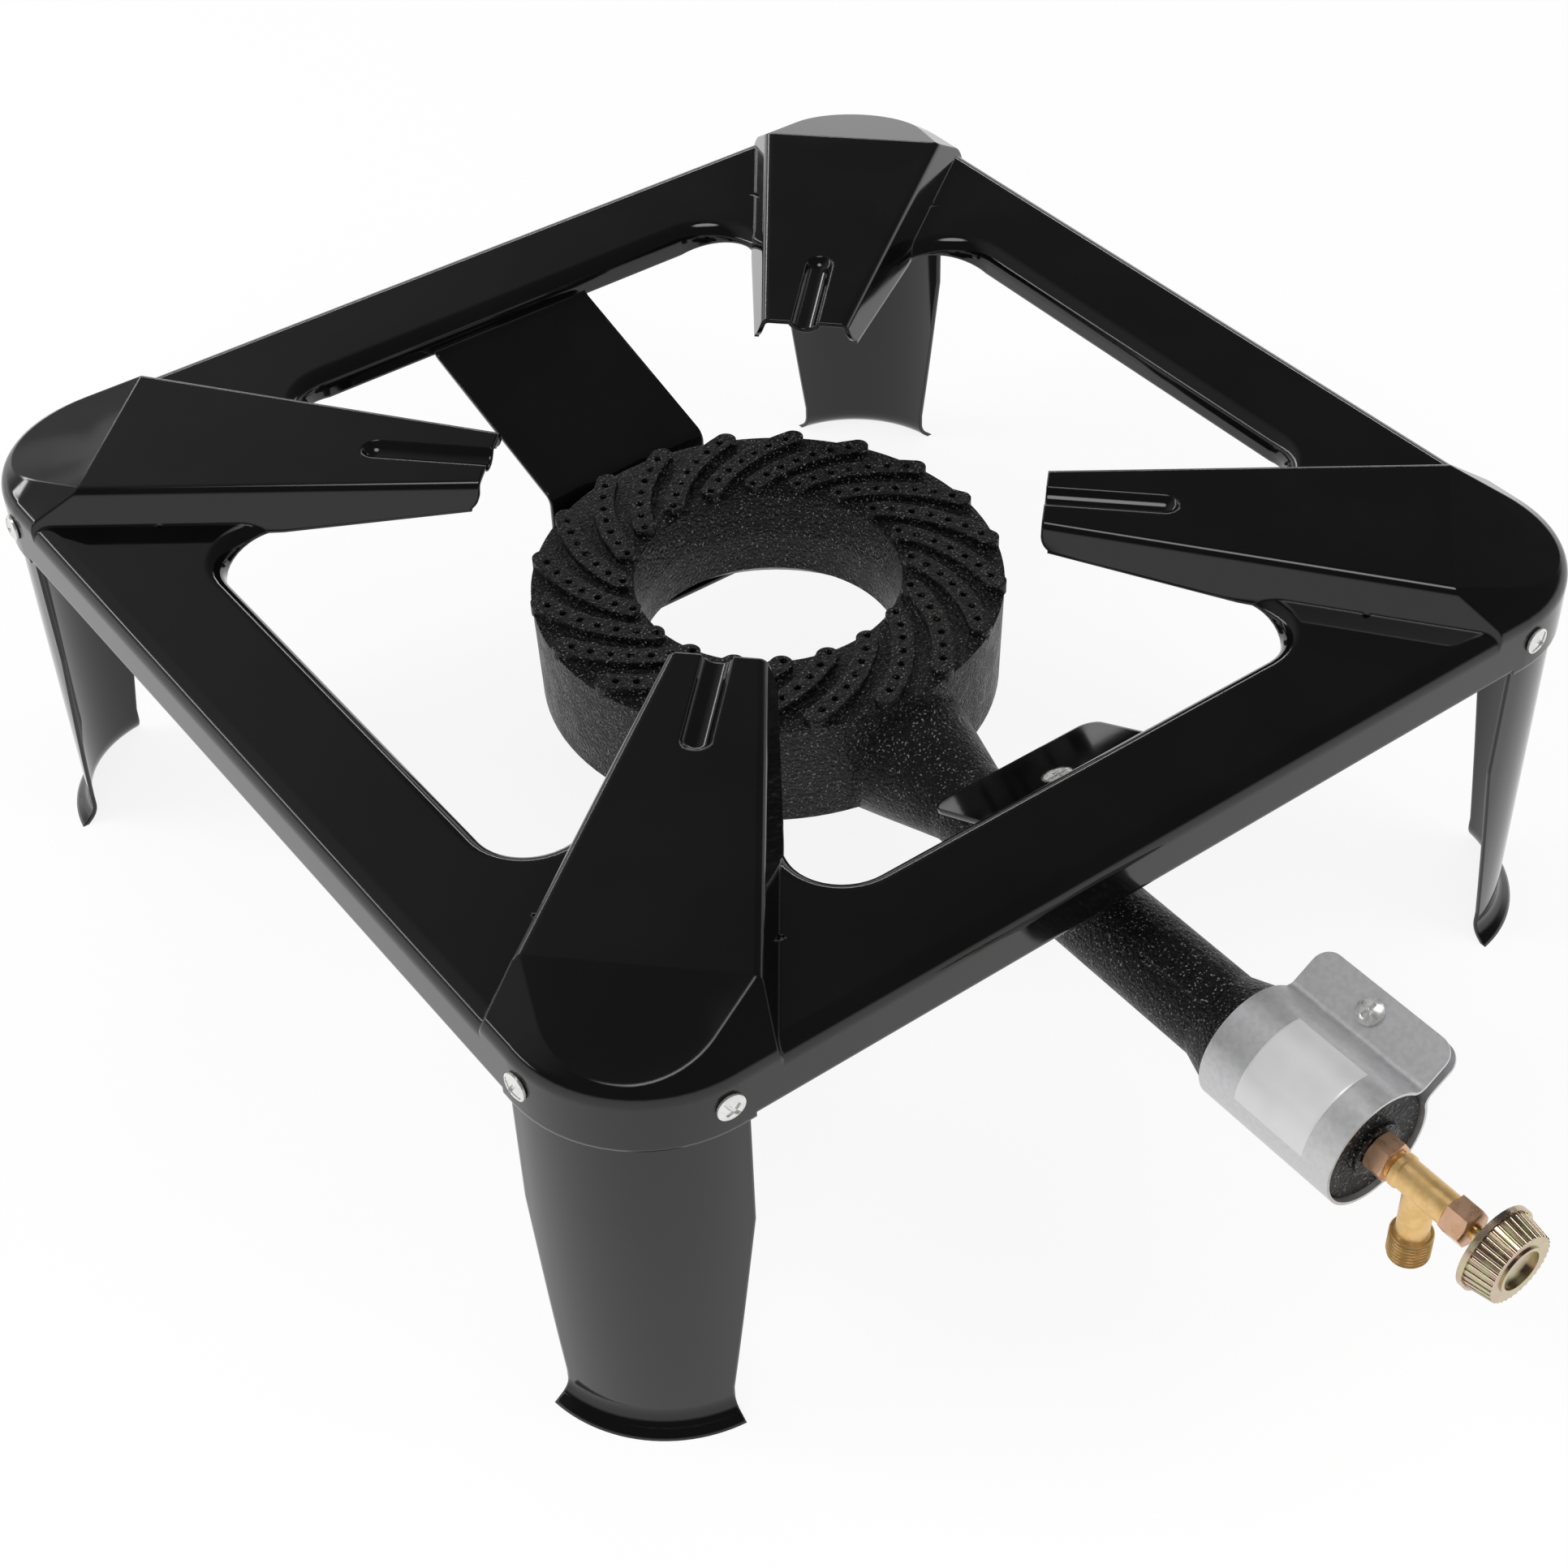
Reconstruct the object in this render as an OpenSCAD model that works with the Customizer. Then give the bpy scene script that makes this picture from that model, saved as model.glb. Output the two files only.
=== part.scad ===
// Stock pot range: a pressed frame on four legs holds a ring burner with its air shutter and gas valve.
// Millimetres. Z is up, the floor is at zero and the control knob points towards -Y.

/* [Frame] */
// Outer side of the square frame
frame_side = 400; // [392:2:408]
// Plan radius of the frame's corners
frame_corner = 45; // [43:0.5:46]
// Thickness of the pressed sheet
sheet = 1.5; // [1.3:0.1:1.7]
// How far each face of a sheet draws in where it is bent
bend_thin = 0.01; // [0.005:0.005:0.02]
// Height of the rail top over the floor
rail_height = 150; // [140:2:160]
// Width of each rail
rail_width = 40; // [38:0.5:42]
// Depth of the outer skirt below the rail top
skirt_depth = 20; // [19:0.5:22]
// Radius of the bends along the rails
rail_bend = 6; // [5.5:0.25:6.5]
// Depth of the inner flange below the rail top
flange_depth = 10; // [9.5:0.25:11]
// Plan radius where a rail flange turns into a finger
flange_fillet = 17; // [16:0.5:18]
// Reach of the filled sheet behind that radius
fillet_reach = 27; // [26:0.5:27.5]
// Outer radius of the curl along the skirt's lower edge
curl_radius = 2.5; // [2.3:0.1:2.8]
// Distance from the frame's side to each end of the curl
curl_in = 50; // [49:1:54]

/* [Pot fingers] */
// Height of the fingers over the rails
finger_rise = 12; // [11:0.5:13]
// Distance from the burner axis to the end of a finger's level top
level_end = 225; // [222:1:228]
// Height of the frame's corners over the rails
corner_rise = 3; // [2.5:0.25:3.5]
// Slope from a finger's top down to the sides' outer bend in degrees
end_slope = 34; // [32:0.5:36]
// Distance from the burner axis to each finger tip
finger_tip = 93.3; // [92:0.5:96]
// Half width of the tip
tip_half = 15; // [14:0.5:16]
// Angle of each ridge to the finger's middle line in degrees
finger_spread = 8.25; // [8:0.05:8.5]
// Angle of the finger's ramp over the rail in degrees
ramp_angle = 70; // [69:0.5:72]
// Radius of the ridge
ridge_radius = 3; // [2.5:0.25:3.5]
// Depth of the finger's flange at its root
root_flange = 15; // [14:0.5:16]
// Depth of the finger's flange at its tip
tip_flange = 9; // [8:0.5:10]
// Radius of the flange's lower corner at the tip
tip_round = 5; // [4:0.5:6]
// Length of the pressed groove from the tip
groove_length = 44; // [42:1:46]
// Radius of the pressed groove
groove_radius = 5.7; // [5.4:0.1:6]
// Depth of the pressed groove
groove_depth = 3; // [2.7:0.1:3.2]

/* [Burner brackets] */
// Width of the two brackets
bracket_width = 66; // [62:1:70]
// Middle radius of the bend at a rail
bracket_bend = 3; // [2.5:0.25:3.5]
// Height of the straight flange above that bend
bracket_root = 2; // [1.5:0.25:2.5]
// Slope of the front bracket in degrees
front_slope = 25.8; // [25:0.2:27]
// Length of the front bracket
front_length = 33; // [31:1:35]
// Corner radius of the front bracket
front_corner = 6; // [5:0.5:7]
// Slope of the rear bracket in degrees
rear_slope = 17.1; // [16.5:0.1:17.5]
// Middle radius of the rear bracket's lower bends
rear_bend = 4; // [3.5:0.25:4.5]
// Straight length between the band's curve and an ear's bend
ear_root = 0.5; // [0.4:0.1:0.8]
// Distance from the burner axis to the rear bracket's drop
rear_drop_at = 86.2; // [86:0.2:88]
// Length of the rear bracket's foot under the ring
rear_foot = 28; // [26:1:30]

/* [Legs] */
// Gap between leg and skirt
leg_gap = 0.2; // [0.1:0.05:0.3]
// Depth of the leg's top below the rail top
leg_top = 3; // [3:0.5:5]
// Distance from the frame's side to the leg's upper edge
wing_in = 49; // [48:0.5:49.5]
// Distance from the frame's side to the leg's lower edge
toe_in = 38.5; // [37:0.5:39]
// Depth below the rail top where the taper starts
taper_start = 65; // [62:1:70]
// Height over the floor where the taper ends
taper_end = 12; // [10:1:14]
// Angle of the flared foot in degrees
foot_flare = 50; // [45:1:52]
// Middle radius of the flared foot
foot_bend = 8; // [7:0.5:9]
// Height of the flared foot
foot_height = 8; // [7.5:0.25:8.5]

/* [Leg screws] */
// Distance from the frame's side to each leg screw
leg_screw_in = 41.5; // [41:0.25:42]
// Depth of the leg screws below the rail top
leg_screw_drop = 9.7; // [9:0.25:10.5]
// Radius of a leg screw's head
pan_radius = 4.5; // [4.3:0.1:4.7]
// Height of a leg screw's head
pan_height = 2.2; // [2:0.1:2.6]
// Shank radius of the screws
shank_radius = 2.5; // [2.4:0.05:2.5]
// Radius of the clearance holes
hole_radius = 2.75; // [2.65:0.05:2.9]
// Length of a leg screw's shank
leg_shank = 9; // [9:0.5:11]
// Width across flats of the nuts
nut_flats = 8; // [7.5:0.25:8]
// Height of the nuts
nut_height = 4; // [3.5:0.25:4.5]
// Gap between nut and curved leg
nut_gap = 0.3; // [0.25:0.05:0.4]
// Clearance of a thread in its hole
thread_gap = 0.05; // [0.03:0.01:0.08]
// Clearance between seated faces
seat_gap = 0.1; // [0.05:0.05:0.2]

/* [Burner ring] */
// Depth of the ring's top below the rail top
ring_drop = 30; // [29:0.5:31]
// Height of the ring
ring_height = 42; // [41:0.5:43]
// Outer radius of the ring's top
ring_radius = 81; // [80.5:0.25:81.5]
// Outer draft of the ring
ring_draft = 1; // [0.5:0.25:1.5]
// Radius of the ring's hole at the top
hole_top = 46; // [45.5:0.25:46.5]
// Radius of the ring's hole at the parting line
hole_waist = 44.5; // [44:0.25:45]
// Radius of the ring's hole at its lower edge
hole_bottom = 45.5; // [45:0.25:46]
// Depth of the parting line below the ring's top
waist_drop = 16; // [15:0.5:17]
// Depth of the hole's lower edge below the ring's top
hole_depth = 32; // [31:0.5:33]
// Inner radius of the ring's flat underside
underside_radius = 57; // [56:0.5:58]
// Chamfer of the ring's lower outer edge
ring_chamfer = 2.5; // [2:0.25:3]
// Wall of the casting
cast_wall = 5; // [4.5:0.25:5.5]

/* [Flame ribs] */
// Number of curved ribs
rib_count = 20; // [18:1:20]
// Height of the ribs
rib_height = 3; // [2.5:0.25:3.5]
// Width of the ribs
rib_width = 7.5; // [7:0.1:7.8]
// How far a rib's rounded ends stand past its sides
rib_swell = 0.1; // [0.08:0.01:0.15]
// Radius of a rib's curve
rib_curve = 59.26; // [59:0.1:59.5]
// Distance from the burner axis to the middle of that curve
rib_centre = 42.74; // [42.5:0.1:43]
// Direction to the middle of the first rib's curve in degrees
rib_turn = -55.9; // [-58:0.5:-54]
// Outer end of the rib along its curve in degrees
rib_from = 22.4; // [22:0.2:23]
// Inner end of the rib along its curve in degrees
rib_to = 71.4; // [71:0.2:72]
// Number of ports in a rib
port_count = 7; // [5:1:7]
// Radius of the ports
port_radius = 1.25; // [1.1:0.05:1.4]
// First port along the rib's curve in degrees
port_from = 29.1; // [28.5:0.2:30]
// Last port along the rib's curve in degrees
port_to = 68.8; // [68:0.2:69]

/* [Mixing tube] */
// Depth of the tube's axis below the rail top
axis_drop = 56.8; // [56.6:0.1:56.9]
// Outer radius of the tube
tube_radius = 15; // [14.6:0.1:15]
// Bore radius of the tube
tube_bore = 10.5; // [10:0.25:11]
// Radius of the neck at the ring
neck_radius = 26; // [25:0.25:26]
// Distance from the burner axis to the neck's wide end
neck_from = 70; // [68:1:72]
// Distance from the burner axis to the neck's narrow end
neck_to = 108; // [104:1:112]
// Distance from the burner axis to the bell's flare
flare_from = 228; // [226:1:230]
// Distance from the burner axis to the bell's straight part
bell_from = 240; // [239:1:241]
// Outer radius of the bell
bell_radius = 19; // [18.8:0.1:19.2]
// Inner radius of the bell
bell_bore = 15.5; // [15:0.25:16]
// Length of the bell's straight part
bell_length = 51.5; // [51:0.25:52]
// Thickness of the bell's end wall
bell_end = 5; // [4.5:0.25:5.5]
// Chamfer of the bell's end
bell_chamfer = 0.8; // [0.6:0.1:1]
// Radius of the hub for the valve
hub_radius = 9; // [8.5:0.25:9.5]
// Height of the hub over the bell's end
hub_rise = 1.5; // [1.25:0.25:2]
// Depth of the hub behind the bell's end
hub_depth = 9; // [8:0.5:10]
// Width of an air window
window_width = 22; // [20:0.5:24]
// Length of an air window
window_length = 20; // [18:0.5:20]
// Distance from an air window to the bell's end
window_margin = 5.5; // [5.5:0.1:6]
// Width of the front lug
lug_width = 16; // [14:1:18]
// Length of the front lug
lug_length = 20; // [18:1:22]
// Clearance of the lug below the rail flange
lug_clear = 2.5; // [2:0.25:3]
// Distance from the front bracket's bend to its screw
front_screw_at = 9; // [8.5:0.25:9.5]
// Distance from the burner axis to the front lug's middle
lug_at = 157; // [156:0.5:158]
// Radius of the rear boss in the ring
boss_radius = 7; // [6.5:0.25:7.5]
// Height of the rear boss
boss_height = 22; // [20:1:24]
// Distance from the burner axis to the rear screw
rear_screw_at = 66; // [65:0.5:67]

/* [Burner screws] */
// Depth of the tapped holes
tap_depth = 14; // [13:0.5:15]
// Length of the rear screw's shank
rear_shank = 14; // [13:0.5:15]
// Radius of the washer
washer_radius = 5.5; // [5:0.25:6]
// Height of the washer
washer_height = 1.2; // [1:0.1:1.4]
// Height of the rear screw's head
hex_height = 3.5; // [3:0.25:4]
// Length of the front screw
front_shank = 13; // [12:0.5:14]
// Head radius of the front screw
sunk_radius = 4.6; // [4.4:0.1:4.8]

/* [Air shutter] */
// Thickness of the shutter's band
band_sheet = 1; // [0.9:0.05:1.1]
// Running clearance of the band on the bell
band_gap = 0.05; // [0.03:0.01:0.08]
// Length of the band
band_length = 53; // [52:0.25:53]
// Angle of the ears over the horizontal in degrees
ear_angle = 33; // [31:1:35]
// Distance from the burner's tube axis to the ears' outer edge
ear_reach = 36.5; // [35:0.5:38]
// Middle radius of the bend between band and ear
ear_bend = 4; // [3.5:0.25:4.5]
// Half the distance between the ears' middle planes
ear_half_gap = 3; // [2.75:0.25:3.5]
// Corner radius of the ears
ear_corner = 6; // [5:0.5:7]
// Distance from the tube axis to the clamp screw
clamp_radius = 29; // [28.5:0.25:29.5]
// Distance from the band's inner end to the clamp screw
clamp_at = 25; // [24:0.5:26]
// Length of the clamp screw's shank
clamp_shank = 13; // [12.5:0.25:14]

/* [Gas valve] */
// Radius of the valve's threaded barrel
barrel_radius = 4.7; // [4.6:0.05:4.8]
// Length of the barrel from its inner end to the lock nut's outer face
barrel_inner = 21; // [20:0.5:22]
// Length of the lock nut
lock_height = 7; // [6.5:0.25:7.5]
// Width across flats of the lock nut
lock_flats = 12; // [11.5:0.25:12.5]
// Length of open thread between lock nut and body
barrel_open = 1.6; // [1.4:0.1:2]
// Radius of the valve body
body_radius = 5.1; // [5:0.05:5.2]
// Radius of the body's collar
collar_radius = 5.6; // [5.5:0.05:5.8]
// Length of the collar
collar_length = 2.5; // [2:0.25:3]
// Length of the valve body
body_length = 20.4; // [20:0.2:21]
// Radius of the body's thread under the gland nut
stem_thread = 4.4; // [4.3:0.05:4.5]
// Length of that thread
stem_length = 6.5; // [6:0.25:6.5]
// Radius of the outlet bore
outlet_bore = 1.8; // [1.7:0.05:1.9]
// Radius of the valve chamber
chamber_radius = 3.1; // [3:0.05:3.2]
// Distance from the body's start to the valve seat
seat_at = 5; // [4.5:0.25:5.5]
// Distance from the body's start to the inlet
inlet_at = 8.4; // [8:0.1:9]
// Radius of the inlet's neck
inlet_neck = 5; // [4.8:0.1:5.1]
// Length of the inlet from the axis to its thread
inlet_drop = 20; // [19:0.5:21]
// Radius of the inlet's thread
inlet_radius = 6.58; // [6.5:0.02:6.6]
// Length of the inlet's thread
inlet_thread = 10; // [9.5:0.25:11]
// Bore radius of the inlet
inlet_bore = 3.5; // [3.2:0.1:3.8]
// Width across flats of the gland nut
gland_flats = 11.2; // [11:0.1:11.5]
// Height of the gland nut
gland_height = 8; // [7.5:0.1:8]
// Radius of the jet
jet_radius = 4; // [3.8:0.1:4.2]
// Length of the jet
jet_length = 9; // [8:0.5:10]
// Length of the jet's stub in the barrel
jet_stub = 5; // [4:0.5:6]
// Radius of the jet's orifice
jet_orifice = 0.5; // [0.45:0.05:0.6]

/* [Knob and spindle] */
// Radius of the spindle
spindle_radius = 2.5; // [2.4:0.05:2.5]
// Radius of the spindle's tip
spindle_tip = 0.6; // [0.5:0.1:0.8]
// Length of the spindle's point
spindle_point = 3; // [2.75:0.25:3.25]
// Free length of the spindle before the knob
spindle_open = 6.6; // [6:0.2:8]
// Radius of the knob's flange
knob_radius = 14.1; // [13.8:0.1:14.4]
// Thickness of the knob's flange
knob_flange = 2; // [1.8:0.1:2.2]
// Length of the knob
knob_length = 10.4; // [10:0.1:11]
// Radius of the knob's fluted side at the flange
knob_base = 13.2; // [13:0.1:13.4]
// Radius of the knob's fluted side at the face
knob_face = 11.8; // [11.6:0.1:12]
// Number of flutes around the knob
flute_count = 36; // [30:1:36]
// Radius of a flute
flute_radius = 0.75; // [0.65:0.05:0.8]
// Radius of the recess in the knob's face
recess_radius = 6.8; // [6.6:0.1:7]
// Depth of the recess
recess_depth = 1.2; // [1:0.1:1.3]
// Width of the raised ring around the recess
rim_width = 1.2; // [1:0.1:1.4]
// Height of that ring
rim_height = 0.6; // [0.5:0.05:0.7]
// Thickness of the knob's shell
knob_wall = 1.8; // [1.6:0.1:2]
// Radius of the hub in the knob
knob_hub = 4.6; // [4.4:0.1:4.8]
// Length of the spindle inside the knob
spindle_grip = 8; // [7.5:0.1:8.2]

/* [Hidden] */
$fn = 96;
cut = sheet;
half = frame_side / 2;
opening_half = half - rail_width;
corner_at = half - frame_corner;
curl_half = half - curl_in;
wing_edge = half - wing_in;
toe_edge = half - toe_in;
leg_screw_at = half - leg_screw_in;
axis_z = rail_height - axis_drop;
finger_z = rail_height + finger_rise;
corner_z = rail_height + corner_rise;
// Turn of a leg screw around the corner's middle
screw_turn = asin((leg_screw_at - corner_at) / frame_corner);
// Slope of a finger's end along its middle line, tangent to the outer bend
bend_out = sqrt(2) * corner_at + frame_corner - rail_bend - level_end;
bend_down = finger_z - corner_z + rail_bend;
level_slope = atan(bend_down / bend_out) - asin(rail_bend / norm([bend_out, bend_down]));
corner_reach = sqrt(2) * corner_at + frame_corner + cut;
ring_z = rail_height - ring_drop;
skirt_z = rail_height - skirt_depth;
lock_at = bell_from + bell_length + hub_rise;
body_at = lock_at + lock_height + barrel_open;
stem_at = body_at + body_length;
knob_at = stem_at + gland_height + spindle_open;
leg_radius = frame_corner - sheet - leg_gap - sheet / 2;
foot_radius = leg_radius + foot_bend * (1 - cos(foot_flare))
    + (foot_height - foot_bend * sin(foot_flare)) * tan(foot_flare) + sheet / 2 / cos(foot_flare);
front_reach = knob_at + knob_length + rim_height;
rear_reach = corner_at + foot_radius;
frame_y = (front_reach - rear_reach) / 2;
bracket_z = rail_height - flange_depth + bracket_root;
// Offset of a finger's flange from its ridge, and the middle of the fillet between flange and rail
flank_out = root_flange / tan(ramp_angle);
arc_x = opening_half - flange_fillet;
arc_d = (arc_x * sqrt(2) - tip_half + tan(finger_spread) * finger_tip
    - (flank_out + flange_fillet) / cos(finger_spread)) / (1 + tan(finger_spread));
arc_w = arc_x * sqrt(2) - arc_d;
arc_y = (arc_d - arc_w) / sqrt(2);
arc_sweep = 135 - finger_spread;
foot_w = arc_w - flange_fillet * cos(finger_spread);
foot_d = arc_d + flange_fillet * sin(finger_spread);
rail_w = (opening_half - arc_y) / sqrt(2);
flange_z = rail_height - flange_depth;
root_z = finger_z - root_flange;
tip_z = finger_z - tip_flange;
// Rear bracket's runs between its bends
rear_bend_angle = 90 - rear_slope;
rear_run = (opening_half + sheet / 2 - (bracket_bend + rear_bend) * (1 - cos(rear_bend_angle)) - rear_drop_at)
    / cos(rear_slope);
rear_top = bracket_z - (bracket_bend + rear_bend) * sin(rear_bend_angle) - rear_run * sin(rear_slope);
ring_bottom = ring_z - ring_height;
foot_mid = ring_bottom - seat_gap - sheet / 2;
rear_drop = rear_top - rear_bend - foot_mid;
// Front bracket's straight part
front_bend_angle = 90 - front_slope;
front_y = -opening_half - sheet / 2 + bracket_bend * (1 - cos(front_bend_angle));
front_z = bracket_z - bracket_bend * sin(front_bend_angle);
// The chamfered underside of the ring, offset by the wall
under_run = underside_radius - hole_bottom;
under_rise = ring_height - hole_depth;
under_length = norm([under_run, under_rise]);
chamber_in = underside_radius + cast_wall * (under_length - under_run) / under_rise;
chamber_low = ring_bottom + (cast_wall * under_length + (under_run - cast_wall) * under_rise) / under_run;
bell_to = bell_from + bell_length;
bend_room = rail_bend;
rib_cap = asin((rib_width / 2 + rib_swell) / rib_curve);
band_radius = bell_radius + band_gap;
band_mid = band_radius + band_sheet / 2;
ear_pivot = band_mid + ear_bend;
ear_start_angle = asin((ear_half_gap + ear_bend) / norm([ear_pivot, ear_root])) + atan(ear_root / ear_pivot);
ear_start = ear_pivot * cos(ear_start_angle) + ear_root * sin(ear_start_angle);
port_step = (port_to - port_from) / (port_count - 1);
black = [0.09, 0.09, 0.1];
cast = [0.17, 0.17, 0.18];
zinc = [0.76, 0.77, 0.78];
brass = [0.85, 0.66, 0.3];
copper = [0.75, 0.5, 0.35];
gold = [0.78, 0.72, 0.5];

// Places children in the frame's middle at floor height
module at_frame() {
    translate([0, frame_y, 0])
        children();
}

// Places children on the tube axis, their Z pointing to the knob
module along_axis(station) {
    translate([0, frame_y - station, axis_z])
        rotate([90, 0, 0])
            children();
}

// Local version of the tube axis, for parts drawn about the frame's middle
module along_tube() {
    translate([0, 0, axis_z])
        rotate([90, 0, 0])
            children();
}

// A bent strip drawn from a list of straight length, bend angle and bend radius
module strip(steps, gauge, i = 0) {
    if (i < len(steps)) {
        run = steps[i][0];
        angle = steps[i][1];
        centre = angle < 0 ? -steps[i][2] : steps[i][2];
        if (run > 0)
            translate([0, -gauge / 2])
                square([run, gauge]);
        translate([run, centre]) {
            if (angle != 0)
                mirror([0, angle < 0 ? 1 : 0])
                    rotate(-90)
                        ring_sector(steps[i][2] - gauge / 2 + bend_thin, steps[i][2] + gauge / 2 - bend_thin,
                            abs(angle));
            rotate(angle)
                translate([0, -centre])
                    strip(steps, gauge, i + 1);
        }
    }
}

// A flat ring between two radii over an angle below 180 degrees, from the X axis
module ring_sector(inner, outer, angle) {
    reach = 2 * outer;
    difference() {
        circle(outer);
        circle(inner);
        translate([-reach, -2 * reach])
            square(2 * reach);
        rotate(angle)
            translate([-reach, 0])
                square(2 * reach);
    }
}

// A rectangle whose upper right corner is rounded
module rolled(x_from, x_to, z_from, z_to, roll) {
    translate([x_from, z_from])
        square([x_to - x_from - roll, z_to - z_from]);
    translate([x_from, z_from])
        square([x_to - x_from, z_to - z_from - roll]);
    translate([x_to - roll, z_to - roll])
        circle(roll);
}

// Solid block of a rail with both long edges rounded, along the Y axis
module rail_block(inset, low) {
    roll = rail_bend - inset;
    middle = (opening_half + half) / 2;
    translate([0, arc_y, 0])
        rotate([90, 0, 0])
            linear_extrude(arc_y) {
                rolled(middle, half - inset, low, rail_height - inset, roll);
                translate([2 * middle, 0])
                    mirror([1, 0])
                        rolled(middle, half - inset, low, rail_height - inset, roll);
            }
}

// Section of the corner: level top, slope and outer bend
module sloped(x_from, x_to, low, inset) {
    roll = rail_bend - inset;
    top = finger_z - inset;
    middle = [x_to - rail_bend, corner_z - rail_bend];
    tangent = middle + roll * [sin(end_slope), cos(end_slope)];
    polygon([
        [x_from, low], [x_from, top], [tangent[0] - (top - tangent[1]) / tan(end_slope), top], tangent, middle,
        middle + [roll, 0], [x_to - inset, low]
    ]);
    translate(middle)
        circle(roll);
}

// Solid block of the corner, level with the fingers inside
module corner_block(inset, low) {
    translate([corner_at, corner_at, 0])
        rotate_extrude(angle = 90)
            sloped(0, frame_corner, low, inset);
    for (m = [0, 1])
        mirror([m, -m, 0])
            translate([0, corner_at, 0])
                rotate([90, 0, 0])
                    linear_extrude(corner_at - arc_y)
                        sloped(corner_at, half, low, inset);
    translate([finger_tip / 2, finger_tip / 2, low])
        cube([corner_at - finger_tip / 2, corner_at - finger_tip / 2, finger_z - inset - low]);
}

// Everything under a finger's level top and its end's slope
module finger_end(inset, low) {
    top = finger_z - inset;
    level_to = level_end - inset * tan(level_slope / 2);
    rotate([90, 0, 0])
        linear_extrude(frame_side, center = true)
            polygon([
                [finger_tip - inset, low], [finger_tip - inset, top], [level_to, top],
                [corner_reach, top - (corner_reach - level_to) * tan(level_slope)], [corner_reach, low]
            ]);
}

// Everything on the inner side of one finger flank, its ridge rounded
module finger_side(inset, low) {
    radius = ridge_radius - inset;
    middle_z = finger_z - ridge_radius;
    middle_q = -ridge_radius * tan(ramp_angle / 2);
    top = finger_z - inset;
    drop_q = flank_out - inset;
    drop_z = finger_z - (inset + drop_q * sin(ramp_angle)) / cos(ramp_angle);
    translate([finger_tip, tip_half, 0])
        rotate(finger_spread)
            translate([-tip_half, 0, 0])
                rotate([90, 0, 90])
                    linear_extrude(frame_side / 2) {
                        polygon([
                            [-half, low], [-half, top], [middle_q, top], [middle_q, middle_z],
                            [middle_q + radius * sin(ramp_angle), middle_z + radius * cos(ramp_angle)],
                            [drop_q, drop_z], [drop_q, low]
                        ]);
                        translate([middle_q, middle_z])
                            circle(radius);
                    }
}

// Solid block of one finger with its corner
module finger_block(inset, low) {
    intersection() {
        corner_block(inset, low);
        rotate(45)
            finger_side(inset, low);
        rotate(45)
            mirror([0, 1, 0])
                finger_side(inset, low);
        rotate(45)
            finger_end(inset, low);
    }
}

// Solid form of one quarter of the stamping, its surface inset by the given depth
module quarter_form(inset, low) {
    finger_block(inset, low);
    for (m = [0, 1])
        mirror([m, -m, 0]) {
            rail_block(inset, low);
            translate([0, corner_at - bend_room, 0])
                rotate([90, 0, 0])
                    linear_extrude(corner_at - bend_room - arc_y)
                        rolled(opening_half + rail_bend, half - inset, low, rail_height - inset, rail_bend - inset);
            translate([arc_x, arc_y, 0])
                rotate_extrude(angle = arc_sweep)
                    translate([2 * flange_fillet + fillet_reach, 0])
                        mirror([1, 0])
                            rolled(flange_fillet, flange_fillet + fillet_reach - inset, low,
                                rail_height - inset, rail_bend - inset);
        }
}

// The groove pressed into a finger, at the given radius
module groove(radius) {
    reach = finger_tip + groove_length - sqrt(pow(groove_radius, 2) - pow(groove_radius - groove_depth, 2));
    rotate(45)
        translate([0, 0, finger_z - groove_depth + groove_radius]) {
            translate([finger_tip - tip_half, 0, 0])
                rotate([0, 90, 0])
                    cylinder(r = radius, h = reach - finger_tip + tip_half);
            translate([reach, 0, 0])
                sphere(radius);
        }
}

// What is trimmed from the flanges under one quarter
module flange_trim(low) {
    limit = opening_half + rail_width / 2;
    intersection() {
        rotate(45)
            rotate([90, 0, 90])
                linear_extrude(frame_side)
                    polygon([
                        [-frame_side, low], [-frame_side, flange_z], [-rail_w, flange_z], [-foot_w, root_z],
                        [foot_w, root_z], [rail_w, flange_z], [frame_side, flange_z], [frame_side, low]
                    ]);
        translate([-cut, -cut, low])
            cube([limit, limit, rail_height]);
    }
    rotate(45)
        translate([0, foot_w, 0])
            rotate([90, 0, 0])
                linear_extrude(2 * foot_w) {
                    polygon([
                        [finger_tip - cut, low], [finger_tip - cut, tip_z], [finger_tip, tip_z],
                        [foot_d, root_z], [foot_d, low]
                    ]);
                    difference() {
                        translate([finger_tip - cut, low])
                            square([tip_round + cut, tip_z + tip_round - low]);
                        translate([finger_tip + tip_round, tip_z + tip_round])
                            circle(tip_round);
                        translate([finger_tip + tip_round / 2, low])
                            square([tip_round, tip_z + tip_round - low]);
                    }
                }
}

// One quarter of the stamping
module frame_quarter() {
    low = skirt_z - cut;
    difference() {
        quarter_form(0, skirt_z);
        difference() {
            quarter_form(sheet, low);
            groove(groove_radius + sheet);
        }
        groove(groove_radius);
        flange_trim(low);
        for (m = [0, 1])
            mirror([m, -m, 0]) {
                translate([half - 2 * sheet, -cut, low])
                    cube([3 * sheet, curl_half + cut, curl_radius + cut]);
                at_corner_screw()
                    translate([0, 0, -2 * sheet])
                        cylinder(r = hole_radius, h = 3 * sheet);
            }
    }
}

// The whole stamping, its flanges open where the brackets start
module stamping() {
    difference() {
        for (k = [0 : 3])
            rotate(90 * k)
                frame_quarter();
        for (side = [-1, 1])
            translate([-bracket_width / 2, side * (opening_half + sheet / 2) - sheet, skirt_z])
                cube([bracket_width, 2 * sheet, bracket_z - skirt_z]);
    }
}

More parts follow.
